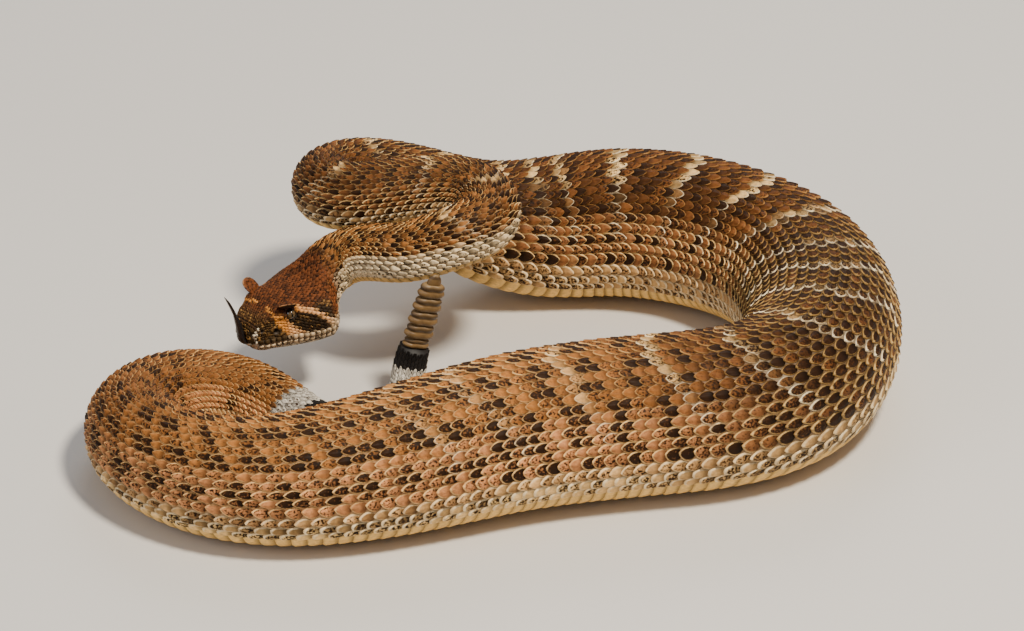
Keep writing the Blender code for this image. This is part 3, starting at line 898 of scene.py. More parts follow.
def coatValues(seeds, high, wide):
    distance = ringDistance(np.clip(seeds[:, 0] + 0.55, 0.0, None))
    fill, rim, marks = markings(distance, seeds[:, 1], seeds[:, 3], seeds[:, 4])
    step = ringPitch(readRadius(distance))
    run = bodySurface(distance + step / 2, seeds[:, 1], 0.0) - bodySurface(distance - step / 2, seeds[:, 1], 0.0)
    length = np.clip(step / np.linalg.norm(run, axis=1), 0.84, 1.2)
    low, up = seeds[:, 0].min(), seeds[:, 0].max() + 1.0
    bake = (0.02 + 0.96 * (seeds[:, 0] - low) / (up - low), 0.5 + 0.48 * seeds[:, 1] / math.pi)
    return {
        "sheetSize": np.column_stack([length, seeds[:, 2] * wide, high * (0.92 + 0.12 * seeds[:, 5])]),
        "scaleTint": withAlpha(fill),
        "rimTint": withAlpha(rim),
        "scaleMarks": marks,
        "bakePlace": np.column_stack([*bake, np.zeros(len(seeds))]),
    }


coatTree = makeCoatTree()


def wrapScales(name, seeds, values, shape):
    item = pointsObject(name, np.column_stack([seeds[:, 0], seeds[:, 1], np.zeros(len(seeds))]), values)
    runTree(item, coatTree, {
        "Guide": bodyGuide,
        "Shape": shape,
        "Finish": scaleMaterial,
        "Guide Start": ringSettings["guideStart"],
        "Guide Steps": float(ringSettings["guideSteps"]),
        "Depth": bodySettings["coatDepth"] * mm,
        "Width": bodySettings["width"],
        "Back": bodySettings["back"],
        "Belly": bodySettings["belly"],
        "Belly Flatness": bodySettings["bellyFlatness"],
        "Lowest": bodySettings["lowest"] * mm,
        "Patch": coatSettings["patch"],
    })
    handOver(item, "skin")


def makeCoat():
    seeds = scaleSeeds()
    low = np.abs(seeds[:, 1]) > math.radians(coatSettings["roundFrom"])
    for name, group, kind in (("coat", seeds[~low], "pointed"), ("side_coat", seeds[low], "rounded")):
        shape = makeShape(kind)
        count = math.ceil(len(group) / coatSettings["piecePoints"])
        rings = np.floor(group[:, 0])
        limits = [rings[min(len(group) - 1, round(len(group) * k / count))] for k in range(count)]
        limits.append(ringCount + 1)
        for k in range(count):
            part = group[(rings >= limits[k]) & (rings < limits[k + 1])]
            wrapScales("%s_%d" % (name, k + 1), part, coatValues(part, 1.0, 1.06), shape)
        bpy.data.objects.remove(shape)
        print("%s: %d scales in %d pieces" % (name, len(group), count))


def makeBellyPlates():
    rng = np.random.default_rng(4)
    width = 2.0 * (math.pi - scuteEdge) * coatSettings["bellyWide"]
    seeds = np.array([(ring + 0.25, math.pi, width, *rng.random(3)) for ring in range(ringCount)])
    values = coatValues(seeds, coatSettings["bellyHigh"], 1.0)
    values["sheetSize"][:, 0] = 1.0
    fill = layered("belly", ("tailPale", tailShare(ringDistance(seeds[:, 0]) / mm)))
    fill = fill * (0.9 + 0.14 * seeds[:, 3])[:, None]
    values["scaleTint"] = withAlpha(fill)
    values["rimTint"] = withAlpha(fill * 1.06)
    values["scaleMarks"] = np.tile((0.0, 0.2, 0.5), (ringCount, 1))
    shape = makeShape("belly")
    wrapScales("belly_plates", seeds, values, shape)
    bpy.data.objects.remove(shape)
    print("%d belly plates" % ringCount)


makeCoat()
makeBellyPlates()


# the head, in millimetres: distance behind the snout, half width, crown and chin heights

headSettings = {
    "axis": (-0.74, -0.66, -0.13),
    "back": (-0.0691, 0.0257, 0.0411),
    "length": 47.0,
    "neckBlend": (32.0, 46.9),
    "cheekBlend": (8.0, 31.0),
    "domeDepth": 1.0,
    "domeMiddle": -1.0,
    "sides": 192,
    "mouthRow": 54,
    "skinDepth": 0.42,
    "mouthEnd": 37.5,
    "creaseDepth": 0.7,
}
headShape = np.array([
    (0.0, 5.2, 3.6, -5.4), (1.3, 7.4, 5.8, -7.2), (3.6, 9.0, 7.6, -8.4), (8.0, 10.8, 9.0, -9.4),
    (13.0, 12.5, 9.9, -11.0), (18.5, 14.6, 10.1, -12.4), (25.0, 17.3, 10.0, -13.6), (31.0, 19.2, 9.9, -14.2),
    (35.5, 19.6, 10.1, -14.2), (40.0, 17.8, 10.7, -13.6), (44.0, 14.8, 11.5, -12.8), (47.0, 12.65, 12.15, -12.3),
])
snoutSection = np.array([
    (0.0, 1.0), (0.36, 0.99), (0.68, 0.95), (0.86, 0.8), (0.92, 0.42), (0.95, 0.05),
    (1.0, -0.22), (0.99, -0.42), (0.9, -0.64), (0.72, -0.86), (0.4, -0.98), (0.0, -1.0),
])
cheekSection = np.array([
    (0.0, 1.0), (0.3, 0.98), (0.58, 0.9), (0.8, 0.7), (0.94, 0.38), (1.0, 0.04),
    (1.0, -0.24), (0.96, -0.48), (0.87, -0.72), (0.67, -0.9), (0.37, -0.99), (0.0, -1.0),
])
mouthLine = np.array([(-4.0, -2.6), (3.0, -3.2), (13.0, -4.4), (23.0, -6.4), (31.0, -6.9), (37.5, -5.0)])
faceSettings = {
    "eye": (16.2, 11.2, 6.7),
    "eyeRadius": 2.3,
    "gaze": (0.22, 0.95, 0.2),
    "brow": (14.8, 11.6, 11.4),
    "browSize": (4.2, 4.1, 1.1),
    "browTilt": 0.72,
    "browTurn": 0.4,
    "browPitch": 0.16,
    "pit": (8.4, 10.6, 1.4),
    "pitRadius": 1.05,
    "nostril": (2.9, 8.2, 3.2),
    "nostrilRadius": 0.7,
}


def smoothRead(knots, values, x):
    # a smooth curve through the knots, with slopes from their neighbours
    x = np.asarray(x, float)
    slopes = np.gradient(values, knots)
    k = np.clip(np.searchsorted(knots, x, side="right") - 1, 0, len(knots) - 2)
    h = knots[k + 1] - knots[k]
    t = np.clip((x - knots[k]) / h, 0.0, 1.0)
    low = values[k] * (1 + 2 * t) * (1 - t) ** 2 + slopes[k] * h * t * (1 - t) ** 2
    return low + values[k + 1] * t * t * (3 - 2 * t) + slopes[k + 1] * h * t * t * (t - 1)


headForward = Vector(headSettings["axis"]).normalized()
headUp = (Vector((0.0, 0.0, 1.0)) - headForward * headForward.z).normalized()
headLeft = headUp.cross(headForward).normalized()
headAxes = np.array([-headForward, headLeft, headUp])
snoutPlace = Vector(headSettings["back"]) + headForward * headSettings["length"] * mm


def headPlace(behind, left, above):
    # head coordinates in millimetres to metres in the model's frame
    return np.array(snoutPlace) + np.column_stack([behind, left, above]) @ headAxes * mm


def headLocal(behind, turn):
    # half section from crown (0) to chin (11), left side positive
    behind = np.asarray(behind, float)
    turn = (np.asarray(turn, float) + 11.0) % 22.0 - 11.0
    share = np.abs(turn)
    inside = np.clip(behind, 0.0, headSettings["length"])
    width, crown, chin = (smoothRead(headShape[:, 0], headShape[:, k], inside) for k in (1, 2, 3))
    cheek = ramp(inside, *headSettings["cheekBlend"])
    steps = np.arange(12.0)
    left, above = (
        smoothRead(steps, snoutSection[:, k], share) * (1.0 - cheek)
        + smoothRead(steps, cheekSection[:, k], share) * cheek
        for k in (0, 1)
    )
    left = left * width * np.sign(turn)
    above = np.where(above > 0, above * crown, -above * chin)
    dome = np.sqrt(np.clip(1.0 - (np.minimum(behind, 0.0) / headSettings["domeDepth"]) ** 2, 0.0, 1.0))
    middle = headSettings["domeMiddle"]
    return left * dome, middle + (above - middle) * dome


def headSurface(behind, turn):
    behind = np.asarray(behind, float)
    points = headPlace(behind, *headLocal(behind, turn))
    neck = ramp(behind, *headSettings["neckBlend"])[:, None]
    joint = bodySurface(np.zeros(len(behind)), np.asarray(turn) * math.pi / 11.0, np.zeros(len(behind)))
    joint = joint + np.outer((behind - headSettings["length"]) * mm, bodyLine["tangent"][0])
    return points * (1.0 - neck) + joint * neck


def headNormal(behind, turn, step=0.05):
    around = headSurface(behind, turn + step) - headSurface(behind, turn - step)
    along = headSurface(behind + step, turn) - headSurface(behind - step, turn)
    return unit(np.cross(around, along)), unit(along)


def mouthTurn(behind):
    # where the mouth line runs, as a place on the half section
    turns = np.linspace(4.0, 9.5, 120)
    inside = min(max(behind, -0.6), headSettings["mouthEnd"])
    height = smoothRead(mouthLine[:, 0], mouthLine[:, 1], inside)
    _, above = headLocal(np.full(120, max(inside, 0.0)), turns)
    return float(np.interp(-height, -above, turns))


def bumpRing(distance, middle, spread):
    return np.exp(-((distance - middle) / spread) ** 2)


def makeHeadGrid():
    # rings from the snout's tip to the neck, with one row of points along the mouth line
    front = -headSettings["domeDepth"] * np.cos(np.linspace(0.04, 1.5, 9))
    behinds = np.concatenate([front, np.arange(0.0, 46.0, 0.42), [46.4, 46.9]])
    half = headSettings["sides"] // 2
    row = headSettings["mouthRow"]
    turns = []
    for value in behinds:
        mouth = mouthTurn(value)
        one = np.concatenate([np.linspace(0.0, mouth, row + 1), np.linspace(mouth, 11.0, half - row + 1)[1:]])
        turns.append(np.concatenate([one, -one[-2:0:-1]]))
    return behinds, np.array(turns)


def apartFrom(name, behind, side, above):
    place = faceSettings[name]
    return np.column_stack([behind - place[0], side - place[1], above - place[2]])


def faceLift(behind, left, above, fromMouth):
    # folds, lips, eye sockets, pits and nostrils, as millimetres in or out
    side = np.abs(left)
    gaze = np.array(faceSettings["gaze"]) / np.linalg.norm(faceSettings["gaze"])
    apart = apartFrom("eye", behind, side, above) * (-1.0, 1.0, 1.0)
    depth = apart @ gaze
    fromEye = np.linalg.norm(apart - depth[:, None] * gaze, axis=1)
    socket = -1.7 * (1.0 - ramp(fromEye, 1.75, 2.35)) + 0.4 * bumpRing(fromEye, 2.6, 0.42)
    lift = np.where(np.abs(depth) < 5.0, socket, 0.0)
    for name, deep, rim in (("pit", 1.5, 0.25), ("nostril", 0.9, 0.22)):
        radius = faceSettings[name + "Radius"]
        away = np.linalg.norm(apartFrom(name, behind, side, above), axis=1)
        lift += -deep * (1.0 - ramp(away, 0.5 * radius, 1.15 * radius)) + rim * bumpRing(away, 1.45 * radius, 0.35)
    brow = faceSettings["brow"]
    over = np.hypot((behind - brow[0]) / 6.0, (side - brow[1] + 1.6) / 3.6)
    lift += np.where(above > 6.5, 0.9 * (1.0 - ramp(over, 0.5, 1.2)), 0.0)
    mouth = 1.0 - ramp(behind, headSettings["mouthEnd"] - 1.5, headSettings["mouthEnd"] + 1.0)
    lift -= mouth * headSettings["creaseDepth"] * bumpRing(fromMouth, 0.0, 0.33)
    lift += mouth * 0.28 * (bumpRing(fromMouth, 1.2, 0.8) + bumpRing(fromMouth, -1.2, 0.8))
    return lift + 0.35 * bumpRing(behind, 11.5, 2.2) * ramp(above, 2.0, 6.0) * (side > 5.0)


# the face's stripes, as bands through points of (behind, above), each with its width

facePaint = {
    "preocular": ([(10.8, 6.0), (12.2, 3.6), (13.9, 0.6), (16.2, -2.4), (18.6, -5.2)], 2.25),
    "postocular": ([(19.8, 8.0), (21.8, 7.2), (25.6, 4.9), (29.0, 1.2), (31.5, -2.4), (32.6, -4.6)], 1.05),
    "snoutLine": ([(2.0, 5.0), (1.0, 2.6), (0.6, 0.2), (1.0, -2.2)], 0.45),
    "crossStripe": (11.2, 1.1),
}


def bandShare(behind, above, name):
    # 1 on the band, falling to 0 at its edges
    points, width = facePaint[name]
    path = np.array(points)
    best = np.full(len(behind), 99.0)
    for a, b in zip(path, path[1:]):
        along = b - a
        share = np.clip(((behind - a[0]) * along[0] + (above - a[1]) * along[1]) / (along @ along), 0.0, 1.0)
        best = np.minimum(best, np.hypot(behind - a[0] - along[0] * share, above - a[1] - along[1] * share))
    return 1.0 - ramp(best, 0.7 * width, 1.15 * width)


def headMarks(behind, left, above, chance, chanceB):
    # fill, rim and middle darkness of the head's scales
    side = np.abs(left)
    wide = side > 6.0
    face = (1.0 - ramp(above, 5.6, 8.6)) * ramp(side, 4.5, 7.0)
    face = np.maximum(face, 1.0 - ramp(above, 3.5, 6.0))
    # painted shade: the front of the snout takes the dark snout tint, standing in for the shade on it; the dark face
    # behind the eye is the real mask
    face = np.maximum(face, 0.75 * (1.0 - ramp(behind, 7.0, 10.5)) * (1.0 - ramp(above, 7.6, 9.4)))
    mask = layered("snout", ("mask", ramp(behind, 9.0, 14.0)), ("gold", (chanceB > 0.66) * (0.45 + 0.5 * chance)))
    pre, post = (bandShare(behind, above, name) for name in ("preocular", "postocular"))
    place, width = facePaint["crossStripe"]
    cross = (1.0 - ramp(np.abs(behind - place + side * 0.25), 0.6, width)) * (above > 7.5)
    over = above - smoothRead(mouthLine[:, 0], mouthLine[:, 1], np.clip(behind, -4.0, 37.5))
    lip = (1.0 - ramp(over, 1.6, 3.4)) * ramp(behind, 4.0, 20.0) * (chance < 0.72)
    jaw = (1.0 - ramp(above + 0.55 * (behind - 40.0), -6.0, -3.0)) * ramp(behind, 28.0, 34.0)
    neck = ramp(behind, 41.5, 47.0)
    angle = np.arctan2(side, above)
    body, bodyRim, _ = markings(np.full(len(behind), 0.004), angle, chance, chanceB)
    fill = layered(
        "crown",
        ("crownDark", ramp(chance, 0.35, 0.95) + 0.25 * (1.0 - ramp(behind, 8.0, 20.0))),
        (mask, face),
        (tints["crown"] * 1.3, face * ramp(behind, 31.0, 36.0) * 0.9),
        (layered("stripe", ("stripePale", ramp(behind, 12.5, 15.5))), pre * wide),
        (layered("stripe", ("stripePale", ramp(behind, 19.0, 22.0))), post * wide),
        ("stripe", cross * (side > 2.5) * 0.7),
        ("chin", bandShare(behind, above, "snoutLine") * (side > 3.6)),
        ("lip", lip * (over > 0)),
        ("lip", jaw * (over > 0)),
        (layered("lip", ("chin", ramp(-over, 1.5, 4.0))), 1.0 - ramp(over, -0.2, 0.3)),
        (body, neck),
    )
    rim = layered(fill * 1.35, (bodyRim, neck * 0.8))
    flecks = np.where((over < 2.6) & (over > -4.0), 0.2 + 0.25 * (chanceB > 0.5), 0.18 + 0.3 * (chanceB > 0.62))
    flecks = flecks * (1.0 - 0.8 * np.maximum(pre, post) * wide)
    return fill * (0.75 + 0.45 * chance)[:, None], rim, np.maximum(flecks, 0.42 * neck * (chanceB > 0.5))


def makeSkin():
    # one closed skin from the snout to the rattle: fine rings on the head, wider ones along the body
    behinds, turns = makeHeadGrid()
    rings, sides = turns.shape
    behind = np.repeat(behinds, sides)
    turn = turns.ravel()
    points = headSurface(behind, turn)
    left, above = headLocal(behind, turn)
    grid = points.reshape(rings, sides, 3)
    row = headSettings["mouthRow"]
    lengths = np.cumsum(np.linalg.norm(grid - np.roll(grid, 1, axis=1), axis=2) / mm, axis=1)
    leftSide = np.arange(sides) <= sides // 2
    fromMouth = np.where(leftSide, lengths - lengths[:, [row]], lengths[:, [sides - row]] - lengths)
    faces = ringFaces(0, rings, sides, capped=False)
    form = meshObject("headForm", points, faces)
    normals = np.empty(len(points) * 3, np.float32)
    form.data.vertices.foreach_get("normal", normals)
    normals = normals.reshape(-1, 3).astype(float)
    outward = points - headPlace(behind, np.zeros(len(left)), np.full(len(left), -1.0))
    normals *= np.sign(np.einsum("ij,ij->i", normals, outward).sum())
    bpy.data.objects.remove(form)
    thin = headSettings["skinDepth"]
    depth = thin + (coatDepth(bodyLine["radius"][0]) / mm - thin) * ramp(behind, 36.0, 46.9)
    lift = (faceLift(behind, left, above, fromMouth.ravel()) - depth) * mm
    points = points + normals * lift[:, None]
    rng = np.random.default_rng(2)
    chance = rng.random(len(points)) * 0.3 + 0.3
    fill, _, _ = headMarks(behind, left, above, chance, np.full(len(points), 0.5))
    # the body's rings have half as many points round as the head's
    bodySides = bodySettings["skinSides"]
    arcs = np.linspace(bodySettings["skinStart"] * mm, bodyLength, bodySettings["skinRings"])
    arc = np.repeat(arcs, bodySides)
    angle = np.tile(2.0 * math.pi * np.arange(bodySides) / bodySides, len(arcs))
    bodyPoints = bodySurface(arc, angle, -coatDepth(readRadius(arc)))
    half = np.full(len(bodyPoints), 0.5)
    bodyFill, bodyRim, _ = markings(arc, (angle + math.pi) % (2.0 * math.pi) - math.pi, half, half)
    start = len(points)
    last = (rings - 1) * sides
    faces.append(tuple(range(sides))[::-1])
    for k in range(bodySides):
        a, b, c = (last + (2 * k + n) % sides for n in range(3))
        d, e = start + k, start + (k + 1) % bodySides
        faces += [(a, b, d), (b, c, e, d)]
    faces += ringFaces(start, len(arcs), bodySides, capped=False)
    end = start + (len(arcs) - 1) * bodySides
    faces.append(tuple(range(end, end + bodySides)))
    item = meshObject("skin", np.vstack([points, bodyPoints]), faces, skinMaterial)
    tint = np.vstack([fill * 0.75, layered(bodyFill, (bodyRim, 0.3)) * 0.62])
    storeValues(item.data, {"skinTint": withAlpha(tint)})
    turnOutward(item)
    flesh = [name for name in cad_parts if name.startswith(("body_", "tail_")) or name in ("neck", "head", "jaw")]
    handOver(item, "skin", *flesh)
    print("skin: %d faces" % len(item.data.polygons))
    return item


skin = makeSkin()


# head plates: set on the skin by their places and their lie, and bent to its shape

def makePlateTree():
    tree, source = newTree("headPlates", ("Skin", "Shape"), ("Patch",))
    skinShape = objectShape(source["Skin"], False)
    size = named(tree, "plateSize")
    solid = spreadShapes(tree, source, vectorMaths("MULTIPLY", size, (1.0, 1.0, 0.0)), ("facing", "lie"))
    values = {"Mesh": skinShape, "Value": addNode(tree, "GeometryNodeInputNormal")}
    normal = addNode(tree, "GeometryNodeSampleNearestSurface", values, data_type="FLOAT_VECTOR")
    nearest = addNode(tree, "GeometryNodeProximity", {0: skinShape}, "Position", target_element="FACES")
    lift = times(named(tree, "lift", "FLOAT"), split(size)[2])
    return placeScales(tree, source, solid, vectorMaths("ADD", nearest, vectorMaths("SCALE", normal, lift)))


plateTree = makePlateTree()


def setPlates(name, kind, behind, turn, size, chance, chanceB, lieTurn=0.0):
    facing, lie = headNormal(behind, turn)
    lieTurn = np.reshape(lieTurn, (-1, 1))
    lie = lie * np.cos(lieTurn) + np.cross(facing, lie) * np.sin(lieTurn)
    lie[behind < 0.0] = headUp  # plates on the snout's front stand upright
    facing[behind < 0.0] = headForward
    fill, rim, middle = headMarks(behind, *headLocal(behind, turn), chance, chanceB)
    count = len(behind)
    bake = (0.02 + 0.94 * np.clip(behind, 0, 47) / 47.0, 0.5 + 0.47 * turn / 11.0)
    item = pointsObject(name, headSurface(behind, turn), {
        "facing": facing,
        "lie": lie,
        "plateSize": size * mm,
        "scaleTint": withAlpha(fill),
        "rimTint": withAlpha(rim),
        "scaleMarks": np.column_stack([middle, np.full(count, 0.15), np.full(count, 0.5)]),
        "bakePlace": np.column_stack([*bake, np.zeros(count)]),
    })
    shape = makeShape(kind)
    patch = coatSettings["patch"]
    runTree(item, plateTree, {"Skin": skin, "Shape": shape, "Finish": scaleMaterial, "Patch": patch})
    bpy.data.objects.remove(shape)
    handOver(item, "skin")
    print("%s: %d" % (name, count))


headScaleSettings = {
    "snoutPitch": 1.15,
    "backPitch": 2.25,
    "first": 0.9,
    "last": 46.85,
    "high": 0.42,
    "chinFrom": 8.2,
    "chinHigh": 0.22,
    "jitter": 0.12,
    "clear": (("eye", 3.1), ("pit", 1.5), ("nostril", 1.15)),
    "lipClear": 2.5,
}


def spotsAlongTurn(behind, spacing, stagger):
    # evenly spaced places round one side of the head, from the crown's middle to the chin's
    turns = np.linspace(0.0, 11.0, 240)
    points = headSurface(np.full(240, behind), turns)
    run = np.concatenate([[0.0], np.cumsum(np.linalg.norm(np.diff(points, axis=0), axis=1))]) / mm
    places = (np.arange(max(2, int(run[-1] / spacing)) + 1) + stagger) * spacing
    places = places[places < run[-1]]
    return np.interp(places, run, turns), places - np.interp(mouthTurn(behind), turns, run)


def makeHeadScales():
    rng = np.random.default_rng(21)
    small, large = headScaleSettings["snoutPitch"], headScaleSettings["backPitch"]
    seeds = []
    behind = headScaleSettings["first"]
    index = 0
    while behind < 47.5:
        pitch = small + (large - small) * min(1.0, max(0.0, (behind - 2.0) / 42.0))
        turns, gaps = spotsAlongTurn(min(behind, 46.8), pitch * 0.92, 0.5 * (index % 2))
        for turn, gap in zip(turns, gaps):
            for sign in (1.0, -1.0) if turn >= 0.01 else (1.0,):
                shift = (rng.random(2) - 0.5) * headScaleSettings["jitter"] * pitch
                seeds.append((behind + shift[0], sign * (turn + shift[1] * 0.15), gap, pitch, *rng.random(3)))
        index += 1
        behind += pitch * 0.86
    behind, turn, gap, pitch, chance, chanceB, _ = np.array(seeds).T
    # no small scales on the eyes, pits, nostrils and lips
    left, above = headLocal(behind, turn)
    keep = (np.abs(gap) >= headScaleSettings["lipClear"]) | (behind >= headSettings["mouthEnd"] + 0.5)
    for name, radius in headScaleSettings["clear"]:
        keep &= np.linalg.norm(apartFrom(name, behind, np.abs(left), above), axis=1) > radius
    behind, turn, pitch, chance, chanceB = (row[keep] for row in (behind, turn, pitch, chance, chanceB))
    high = headScaleSettings["high"] * (0.7 + 0.3 * pitch / 2.0)
    high = np.where(np.abs(turn) > headScaleSettings["chinFrom"], headScaleSettings["chinHigh"], high)
    size = np.column_stack([pitch * 1.42, pitch * 1.04, high])
    setPlates("head_scales", "head", np.minimum(behind, headScaleSettings["last"]), turn, size, chance, chanceB)


lipSettings = {
    "count": 16,
    "start": 0.6,
    "overlap": 1.06,
    "fromMouth": 0.12,
    "rows": ((-1.0, 2.5, 0.5), (1.0, 2.3, 0.45)),  # above or below the mouth, height of the plate, thickness
}


def makeLips():
    # the plates along the upper and lower lip, each row following the mouth line
    edges = np.linspace(lipSettings["start"], headSettings["mouthEnd"], lipSettings["count"] + 1)
    rows = []
    for sign in (1.0, -1.0):
        for under, height, high in lipSettings["rows"]:
            for low, far in zip(edges, edges[1:]):
                behind = (low + far) / 2
                turns, gaps = spotsAlongTurn(behind, 0.1, 0.0)
                want = under * (height / 2 + lipSettings["fromMouth"])
                turn = sign * np.interp(want, gaps, turns)
                rows.append((behind, turn, (far - low) * lipSettings["overlap"], height, high))
    rows = np.array(rows)
    rng = np.random.default_rng(8)
    chance, chanceB = rng.random(len(rows)), rng.random(len(rows)) * 0.7
    setPlates("lip_plates", "lip", rows[:, 0], rows[:, 1], rows[:, 2:], chance, chanceB)


makeHeadScales()
makeLips()


# the larger plates of the face

facePlates = {
    "front": [  # left, above, length, width, height
        (0.0, -0.8, 3.3, 3.2, 0.55), (1.3, 1.75, 2.2, 2.4, 0.45), (2.9, -0.2, 2.4, 2.5, 0.45),
        (2.7, -2.1, 1.5, 2.3, 0.45), (0.0, -4.3, 2.0, 3.2, 0.45), (1.95, -4.25, 1.9, 2.0, 0.4),
        (3.7, -3.9, 1.8, 1.9, 0.4), (3.5, 1.7, 1.8, 1.9, 0.4), (4.9, -0.6, 2.2, 1.7, 0.4),
        (4.5, -2.3, 1.5, 1.7, 0.4), (0.8, 3.3, 1.3, 1.5, 0.35), (2.4, 3.1, 1.3, 1.5, 0.35),
    ],
    "sides": [  # behind, place round, length, width, height, lean
        (0.3, 2.6, 2.3, 2.6, 0.5, 0.0), (0.5, 4.6, 2.2, 2.4, 0.5, 0.0), (1.3, 5.2, 2.0, 2.3, 0.5, 0.0),
        (4.9, 4.75, 2.0, 2.3, 0.5, 0.0), (7.0, 4.3, 1.9, 1.7, 0.5, 0.0), (10.6, 4.25, 2.6, 1.5, 0.5, 0.0),
        (10.5, 5.3, 2.4, 1.3, 0.45, 0.1), (5.2, 2.9, 2.6, 2.2, 0.45, 0.2), (8.0, 3.0, 2.8, 2.0, 0.45, 0.2),
        (1.9, 3.35, 1.5, 0.7, 0.6, 1.5), (1.2, 4.3, 1.5, 0.7, 0.6, 1.5), (0.7, 5.3, 1.5, 0.7, 0.65, 1.5),
        (0.7, 6.3, 1.5, 0.7, 0.65, 1.5), (0.3, 0.0, 1.6, 1.9, 0.4, 0.0), (0.3, 0.9, 1.6, 1.9, 0.4, 0.0),
        (0.3, 1.8, 1.6, 1.9, 0.4, 0.0),
    ],
    "roundEye": 13,
    "eyeRing": 3.0,
    "eyePlate": (1.1, 1.5, 0.5),
}


def frontPlace(left, above):
    # place on the snout's front, from how far left and above it is
    turns = np.linspace(0.0, 11.0, 200)
    middle = headSettings["domeMiddle"]
    edgeLeft, edgeAbove = headLocal(np.zeros(200), turns)
    edgeLeft, edgeAbove = np.abs(edgeLeft), edgeAbove - middle
    turn = float(np.interp(math.atan2(abs(left), above - middle), np.arctan2(edgeLeft, edgeAbove), turns))
    reach = math.hypot(np.interp(turn, turns, edgeLeft), np.interp(turn, turns, edgeAbove))
    share = min(0.999, math.hypot(left, above - middle) / reach)
    return -headSettings["domeDepth"] * math.sqrt(1.0 - share**2), math.copysign(turn, left)


def makeFacePlates():
    rows = []
    for sign in (1.0, -1.0):
        rows += [(behind, sign * turn, *size, sign * lean) for behind, turn, *size, lean in facePlates["sides"]]
        for left, above, *size in facePlates["front"]:
            if left > 0.0 or sign > 0.0:
                rows.append((*frontPlace(sign * left, above), *size, 0.0))
    eye = faceSettings["eye"]
    turns = np.linspace(2.0, 8.0, 160)
    count = facePlates["roundEye"]
    for sign in (1.0, -1.0):
        for k in range(count):
            angle = 2.0 * math.pi * (k + 0.5) / count
            behind = eye[0] - facePlates["eyeRing"] * math.cos(angle)
            above = eye[2] + facePlates["eyeRing"] * math.sin(angle)
            _, heights = headLocal(np.full(160, behind), turns)
            if above < eye[2] + 2.0:
                turn = sign * np.interp(-above, -heights, turns)
                rows.append((behind, turn, *facePlates["eyePlate"], sign * (angle + math.pi)))
    rows = np.array(rows)
    rng = np.random.default_rng(5)
    chance, chanceB = rng.random(len(rows)), rng.random(len(rows))
    setPlates("face_plates", "face", rows[:, 0], rows[:, 1], rows[:, 2:5], chance, chanceB, rows[:, 5])


makeFacePlates()


# brow plates: broad ovals over the eyes, wrinkled on top, with painted shade on their undersides

browSettings = {"rings": 28, "sides": 40, "squareness": 0.85, "fit": 0.98, "bakeScale": 18.0}


def browFrame(sign):
    turns = (("browTurn", -sign, "Z"), ("browPitch", -1.0, "Y"), ("browTilt", sign, "X"))
    behind, left, above = faceSettings["brow"]
    matrix = Matrix.Translation(Vector(headPlace([behind], [sign * left], [above])[0]))
    matrix = matrix @ Matrix((headForward, headLeft, headUp)).transposed().to_4x4()
    for name, way, axis in turns:
        matrix = matrix @ Matrix.Rotation(way * faceSettings[name], 4, axis)
    return matrix


def browPoint(polar, angle, sign):
    # a place on the brow in unit size, and how far up, out to the edge and outward it lies
    power = browSettings["squareness"]
    x, y = (math.copysign(abs(v) ** power, v) * math.sin(polar) for v in (math.cos(angle), math.sin(angle)))
    z = math.cos(polar)
    wrinkle = 0.0
    if z > 0:
        wrinkle = 0.09 * math.sin(13.0 * y * sign - 2.5 * x * x) * (1.0 - x * x)
        wrinkle -= 0.3 * max(0.0, 1.0 - ((y * sign - 0.15) / 0.5) ** 2 - (x / 0.7) ** 2)
    thin = 1.0 - 0.45 * max(0.0, y * sign)
    fit = browSettings["fit"]
    return (x * fit, y * fit, z * 0.85 * thin + wrinkle), (z, math.hypot(x, y), y * sign)


def makeBrows():
    vertices, faces, rows = [], [], []
    for sign in (1.0, -1.0):
        matrix = browFrame(sign)
        turns, more = ballGrid(browSettings["rings"], browSettings["sides"], len(vertices))
        faces += more
        for polar, angle in turns:
            point, row = browPoint(polar, angle, sign)
            sized = [v * size * mm for v, size in zip(point, faceSettings["browSize"])]
            vertices.append(matrix @ Vector(sized))
            rows.append(row)
    item = meshObject("brows", vertices, faces, scaleMaterial)
    turnOutward(item)
    up, edge, out = np.array(rows).T
    # painted shade: the brows' undersides are darkened with the crownDark tint
    fill = layered(
        tints["crown"] * 1.15,
        (tints["crownDark"] * 0.8, ramp(-up, 0.0, 0.5)),
        (tints["stripePale"] * 0.8, ramp(edge, 0.9, 0.99) * ramp(out, 0.2, 0.6) * 0.8),
    )
    marks = np.tile((0.3, 0.1, 0.4), (len(rows), 1))
    storeValues(item.data, {"scaleTint": withAlpha(fill), "rimTint": withAlpha(fill), "scaleMarks": marks})
    layers = item.data.uv_layers
    for name in ("scaleShape", "OFBake"):
        layers.new(name=name)
    for loop in item.data.loops:
        apart = (vertices[loop.vertex_index] - snoutPlace) * browSettings["bakeScale"]
        layers["scaleShape"].data[loop.index].uv = (0.5, 0.35)
        layers["OFBake"].data[loop.index].uv = (0.5 + apart.dot(headLeft), 0.1 - apart.dot(headForward))
    handOver(item, "skin")


makeBrows()


# eyes: gold-brown iris with a narrow upright pupil

eyeSettings = {
    "rings": 28,
    "sides": 48,
    "pupilWidth": 0.16,
    "pupilHeight": 0.62,
    "pupil": (0.004, 0.004, 0.004, 1.0),
    "irisDark": (0.035, 0.02, 0.008, 1.0),
    "irisLight": (0.17, 0.105, 0.04, 1.0),
    "irisEdge": (0.012, 0.009, 0.006, 1.0),
}


